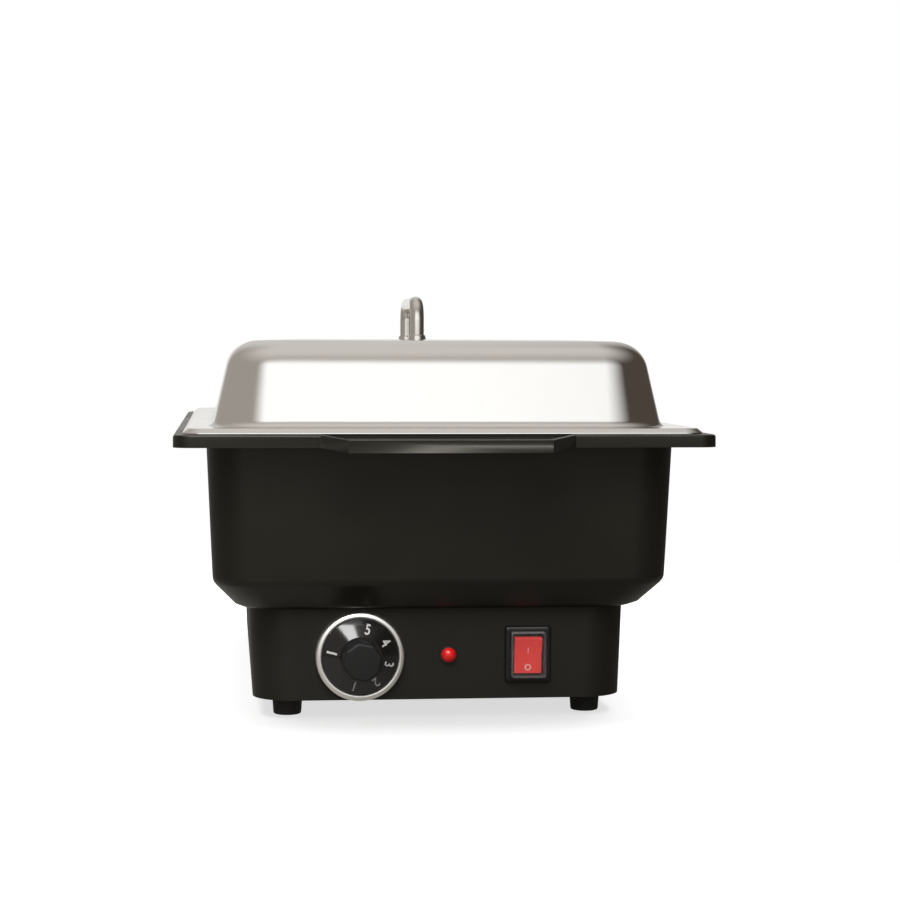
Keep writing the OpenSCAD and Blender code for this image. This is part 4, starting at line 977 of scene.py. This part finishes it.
class DISH_OT_heater(bpy.types.Operator):
    """Heating plate in the tub's floor, and the heater and shield under it"""

    bl_idname = "dish.heater"
    bl_label = "Heater"

    def execute(self, context):
        plate = dressed("hot_plate", "heating_plate", 0.4 * MM)
        rises(paint(plate, satin_steel()), "dish_base", "heating_plate")
        silicone = finish("red_silicone", (0.25, 0.05, 0.03), rough=0.6, grain=900, mottle=40)
        sheath = finish(
            "heat_stained_sheath", (0.16, 0.13, 0.11), metal=0.9, rough=0.45, spread=0.1, grain=500,
            mottle=30, tone=0.35,
        )
        ceramic = finish("ceramic", (0.66, 0.62, 0.54), rough=0.7, grain=900, depth=0.00005, mottle=50)
        folded = finish(
            "folded_aluminium", (0.48, 0.5, 0.51), metal=1.0, rough=0.38, grain=600, stretch=(1, 0.05, 1),
            mottle=20,
        )
        paint_nodes(silicone, "plate_gasket")
        paint_nodes(sheath, "heating_element")
        paint_nodes(ceramic, "element_pins", "thermal_cutout", "thermostat_body")
        paint_nodes(folded, "heat_shield")
        paint_nodes(
            zinc(), "plate_nuts", "clamp_bars", "clamp_nuts", "shield_nuts", "bulb_clips", "thermostat_screws"
        )
        return {"FINISHED"}


class DISH_OT_gland(bpy.types.Operator):
    """Cord gland at the back"""

    bl_idname = "dish.gland"
    bl_label = "Cord gland"

    def execute(self, context):
        nylon = finish(
            "black_nylon", shades().gland, rough=0.42, grain=1500, depth=0.00003, mottle=80, tone=0.12
        )
        for name, node in (("gland_collar", "gland_body"), ("gland_dome_nut", "gland_cap")):
            rises(paint(dressed(name, node, 0.4 * MM), nylon), "dish_base", node)
        paint_nodes(nylon, "gland_locknut")
        seal = finish("seal_rubber", shades().rubber, rough=0.7, grain=1500, mottle=90)
        paint_nodes(seal, "gland_seal")
        return {"FINISHED"}


class DISH_OT_wiring(bpy.types.Operator):
    """Wires, their brass ends, and the thermostat's shaft, bulb and tube"""

    bl_idname = "dish.wiring"
    bl_label = "Wiring"

    def execute(self, context):
        brass = finish("brass", (0.58, 0.45, 0.15), metal=1.0, rough=0.3, grain=1500, mottle=90, tone=0.15)
        copper = finish("copper", (0.6, 0.26, 0.13), metal=1.0, rough=0.28, grain=1500, mottle=90, tone=0.18)
        paint_nodes(
            brass, "thermostat_shaft", "thermostat_tabs", "switch_tabs", "terminal_screws", "earth_tag"
        )
        paint_nodes(copper, "sensor_bulb", "capillary_tube")
        hot = ["cutout_wire", "element_wire", "return_wire", "pilot_wires"]
        for name, shade, wires in (
            ("brown_sleeve", (0.19, 0.07, 0.03), ["live_wire"]),
            ("blue_sleeve", (0.03, 0.09, 0.35), ["neutral_wire"]),
            ("green_sleeve", (0.07, 0.33, 0.05), ["earth_wire"]),
            ("black_sleeve", (0.012, 0.012, 0.012), ["switched_wire"]),
            ("glass_sleeve", (0.45, 0.42, 0.35), hot),
        ):
            paint_nodes(finish(name, shade, rough=0.45, grain=2500, depth=0.00003, mottle=120), *wires)
        return {"FINISHED"}


# Studio

LEFT_WALL, RIGHT_WALL, BACK_WALL = (0.36, 0.33, 0.295), (0.075, 0.06, 0.048), (0.62, 0.6, 0.575)
CEILING, WINDOW, LOW_BACK = (0.65, 0.61, 0.575), (1.18, 1.18, 1.17), (0.88, 0.87, 0.85)
# Glow of the table in reflections: painted light and shade, lightest just left of the dish's middle
SHADED_TABLE, LIT_TABLE_LEFT, SHADED_TABLE_RIGHT = (0.16, 0.15, 0.135), (0.42, 0.4, 0.37), (0.2, 0.19, 0.17)
SHADED_TABLE_FAR_RIGHT, WHITE = (0.06, 0.055, 0.05), (1.0, 1.0, 1.0)
CAMERA_SPOT = (-0.1439, -1.6649, 0.2451)
CAMERA_YAW, CAMERA_PITCH, CAMERA_ROLL = 5.972, -2.557, 0.1835
CAMERA_LENS = 85.752


def softbox(name, turn, rise, reach, width, height, power, target=(0, -0.2, 0.12)):
    """A rectangular lamp that faces its target from a turn to the right of the front and a rise."""
    turn, rise = math.radians(turn), math.radians(rise)
    flat = reach * math.cos(rise)
    target = Vector(target)
    spot = target + Vector((flat * math.sin(turn), -flat * math.cos(turn), reach * math.sin(rise)))
    clear_bench()
    bpy.ops.object.light_add(
        type="AREA", location=spot, rotation=(target - spot).to_track_quat("-Z", "Y").to_euler()
    )
    light = bpy.context.object
    light.name = name
    light.data.shape = "RECTANGLE"
    light.data.size, light.data.size_y = width, height
    light.data.energy = power
    return light


def link_light(light, pieces, how):
    """INCLUDE has a lamp light these pieces alone, and EXCLUDE has it light all the others."""
    group = bpy.data.collections.new(light.name + "_" + how.lower())
    light.light_linking.receiver_collection = group
    for piece in pieces:
        group.objects.link(piece)
    for item in group.collection_objects:
        item.light_linking.link_state = how


def studio_air(scene):
    """White behind the dish, a plain fill on it, and for gloss a grey room with one white wall in front."""
    world = bpy.data.worlds.new("studio")
    scene.world = world
    world.use_nodes = True
    world.node_tree.nodes.clear()
    recipe = Recipe(world.node_tree)
    place = recipe.add("ShaderNodeTexCoord").outputs["Generated"]
    parts = recipe.add("ShaderNodeSeparateXYZ")
    recipe.feed(parts, "Vector", place)
    x, y, z = (parts.outputs[key] for key in "XYZ")
    turn = recipe.sum("DEGREES", recipe.sum("ARCTAN2", x, recipe.sum("MULTIPLY", y, -1.0)))
    rise = recipe.sum("DEGREES", recipe.sum("ARCSINE", z))
    away = recipe.sum("ABSOLUTE", turn)

    walls = recipe.mix(recipe.ramp(turn, 5, 50), LEFT_WALL, RIGHT_WALL)
    walls = recipe.mix(recipe.ramp(away, 142, 174), walls, BACK_WALL)
    walls = recipe.mix(recipe.ramp(rise, 28, 82), walls, CEILING)
    across = recipe.sum("SUBTRACT", recipe.ramp(turn, -52, -20), recipe.ramp(turn, 6, 56, "LINEAR"))
    upright = recipe.sum("SUBTRACT", recipe.ramp(rise, -4, 3), recipe.ramp(rise, 28, 56))
    walls = recipe.mix(recipe.sum("MULTIPLY", across, upright), walls, WINDOW)
    low_back = recipe.sum("MULTIPLY", recipe.ramp(away, 160, 168), recipe.ramp(rise, 11, 5))
    walls = recipe.mix(low_back, walls, LOW_BACK)

    fill = recipe.glow("ShaderNodeBackground", (1.0, 0.99, 0.97), 0.28)
    gloss = recipe.glow("ShaderNodeBackground", walls)
    white = recipe.glow("ShaderNodeBackground", WHITE)
    recipe.feed(recipe.add("ShaderNodeOutputWorld"), "Surface", recipe.by_ray(fill, gloss, white))


def table_finish():
    """A pale table that fades into white, and keeps the dish's shadow; in reflections it glows with painted
    light and shade.
    """
    material = bpy.data.materials.new("pale_table")
    material.use_nodes = True
    material.node_tree.nodes.clear()
    recipe = Recipe(material.node_tree)
    place = recipe.add("ShaderNodeTexCoord").outputs["Object"]
    parts = recipe.add("ShaderNodeSeparateXYZ")
    recipe.feed(parts, "Vector", place)
    reach = recipe.add("ShaderNodeVectorMath", operation="LENGTH")
    recipe.feed(reach, 0, place)
    plain = recipe.add("ShaderNodeBsdfDiffuse")
    recipe.feed(plain, "Color", (0.72, 0.71, 0.7))
    top = recipe.add("ShaderNodeBsdfDiffuse")
    recipe.feed(top, "Color", (0.6, 0.6, 0.6))
    near = recipe.add("ShaderNodeAddShader")
    recipe.feed(near, 0, top.outputs["BSDF"])
    recipe.feed(near, 1, recipe.glow("ShaderNodeEmission", WHITE, 0.68))
    far = recipe.glow("ShaderNodeEmission", WHITE)
    white = recipe.shader(recipe.ramp(reach.outputs["Value"], 0.45, 1.1), near.outputs["Shader"], far)
    # In reflections the table glows with painted light and shade: lightest just left of the middle, darker
    # farther left and to the right, and brighter farther off
    right = parts.outputs["X"]
    painted_table_reflection = recipe.mix(recipe.ramp(right, -0.7, -0.25), SHADED_TABLE, LIT_TABLE_LEFT)
    painted_table_reflection = recipe.mix(recipe.ramp(right, -0.12, 0.06), painted_table_reflection, SHADED_TABLE_RIGHT)
    painted_table_reflection = recipe.mix(recipe.ramp(right, 0.2, 0.8), painted_table_reflection, SHADED_TABLE_FAR_RIGHT)
    painted_glow_with_reach = recipe.sum("ADD", 1.0, recipe.sum("MULTIPLY", 1.3, recipe.ramp(reach.outputs["Value"], 0.5, 3.0)))
    gloss = recipe.glow("ShaderNodeEmission", painted_table_reflection, painted_glow_with_reach)
    floor = recipe.by_ray(plain.outputs["BSDF"], gloss, white)
    recipe.feed(recipe.add("ShaderNodeOutputMaterial"), "Surface", floor)
    return material


class DISH_OT_studio(bpy.types.Operator):
    """Camera, lamps, the air round the dish and the pale table under it"""

    bl_idname = "dish.studio"
    bl_label = "Studio"

    def execute(self, context):
        scene = context.scene
        scene.view_settings.view_transform = "Standard"
        clear_bench()
        yaw, pitch, roll = (math.radians(a) for a in (CAMERA_YAW, CAMERA_PITCH, CAMERA_ROLL))
        flat = math.cos(pitch)
        ahead = Vector((math.sin(yaw) * flat, math.cos(yaw) * flat, math.sin(pitch)))
        right = Vector((math.cos(yaw), -math.sin(yaw), 0))
        up = right.cross(ahead)
        across = math.cos(roll) * right + math.sin(roll) * up
        upward = -math.sin(roll) * right + math.cos(roll) * up
        pose = Matrix((across, upward, -ahead)).transposed().to_4x4()
        pose.translation = CAMERA_SPOT
        bpy.ops.object.camera_add()
        camera = context.object
        camera.name = "photo_camera"
        camera.matrix_world = pose
        camera.data.lens = CAMERA_LENS
        camera.data.sensor_width = 36
        scene.camera = camera

        studio_air(scene)
        table = begin("table_top", bpy.ops.mesh.primitive_plane_add, size=1)
        bpy.ops.transform.resize(value=(12, 12, 1))
        bpy.ops.mesh.subdivide(number_cuts=3)
        close_up(table)
        settle(table)
        paint(table, table_finish())

        steel = ("lid_dome", "handle_bow", "handle_collars", "steel_food_pan")
        unlit = [bpy.data.objects[name] for name in steel] + [table]
        front = softbox("front_softbox", turn=-12, rise=36, reach=2.1, width=1.1, height=0.8, power=18)
        key = softbox("key_softbox", turn=-24, rise=52, reach=2.1, width=2.2, height=0.5, power=40)
        over = softbox(
            "table_softbox", turn=180, rise=80, reach=2.2, width=3.2, height=2.4, power=100, target=(0, 0, 0)
        )
        link_light(front, unlit, "EXCLUDE")
        link_light(key, unlit, "EXCLUDE")
        link_light(over, [table], "INCLUDE")
        return {"FINISHED"}


class DISH_PT_panel(bpy.types.Panel):
    bl_idname = "DISH_PT_panel"
    bl_label = "Chafing dish"
    bl_space_type = "VIEW_3D"
    bl_region_type = "UI"
    bl_category = "Dish"

    def draw(self, context):
        layout = self.layout
        for group in (context.scene.dish_sizes, context.scene.dish_colours):
            box = layout.box()
            for key in group.bl_rna.properties.keys():
                if key not in ("rna_type", "name"):
                    box.prop(group, key)
        for tool in OPERATORS:
            layout.operator(tool.bl_idname)


OPERATORS = (
    DISH_OT_tub, DISH_OT_base, DISH_OT_underside, DISH_OT_feet, DISH_OT_pan, DISH_OT_lid,
    DISH_OT_handle, DISH_OT_knob, DISH_OT_ring, DISH_OT_pilot, DISH_OT_switch, DISH_OT_heater,
    DISH_OT_gland, DISH_OT_wiring, DISH_OT_studio,
)
CLASSES = (DishSizes, DishColours, *OPERATORS, DISH_PT_panel)


def register():
    for item in CLASSES:
        bpy.utils.register_class(item)
    bpy.types.Scene.dish_sizes = PointerProperty(type=DishSizes)
    bpy.types.Scene.dish_colours = PointerProperty(type=DishColours)


def unregister():
    del bpy.types.Scene.dish_colours
    del bpy.types.Scene.dish_sizes
    for item in reversed(CLASSES):
        bpy.utils.unregister_class(item)


def main():
    register()
    for tool in OPERATORS:
        getattr(bpy.ops.dish, tool.bl_idname.split(".")[1])()
    clear_bench()


if __name__ == "__main__":
    main()
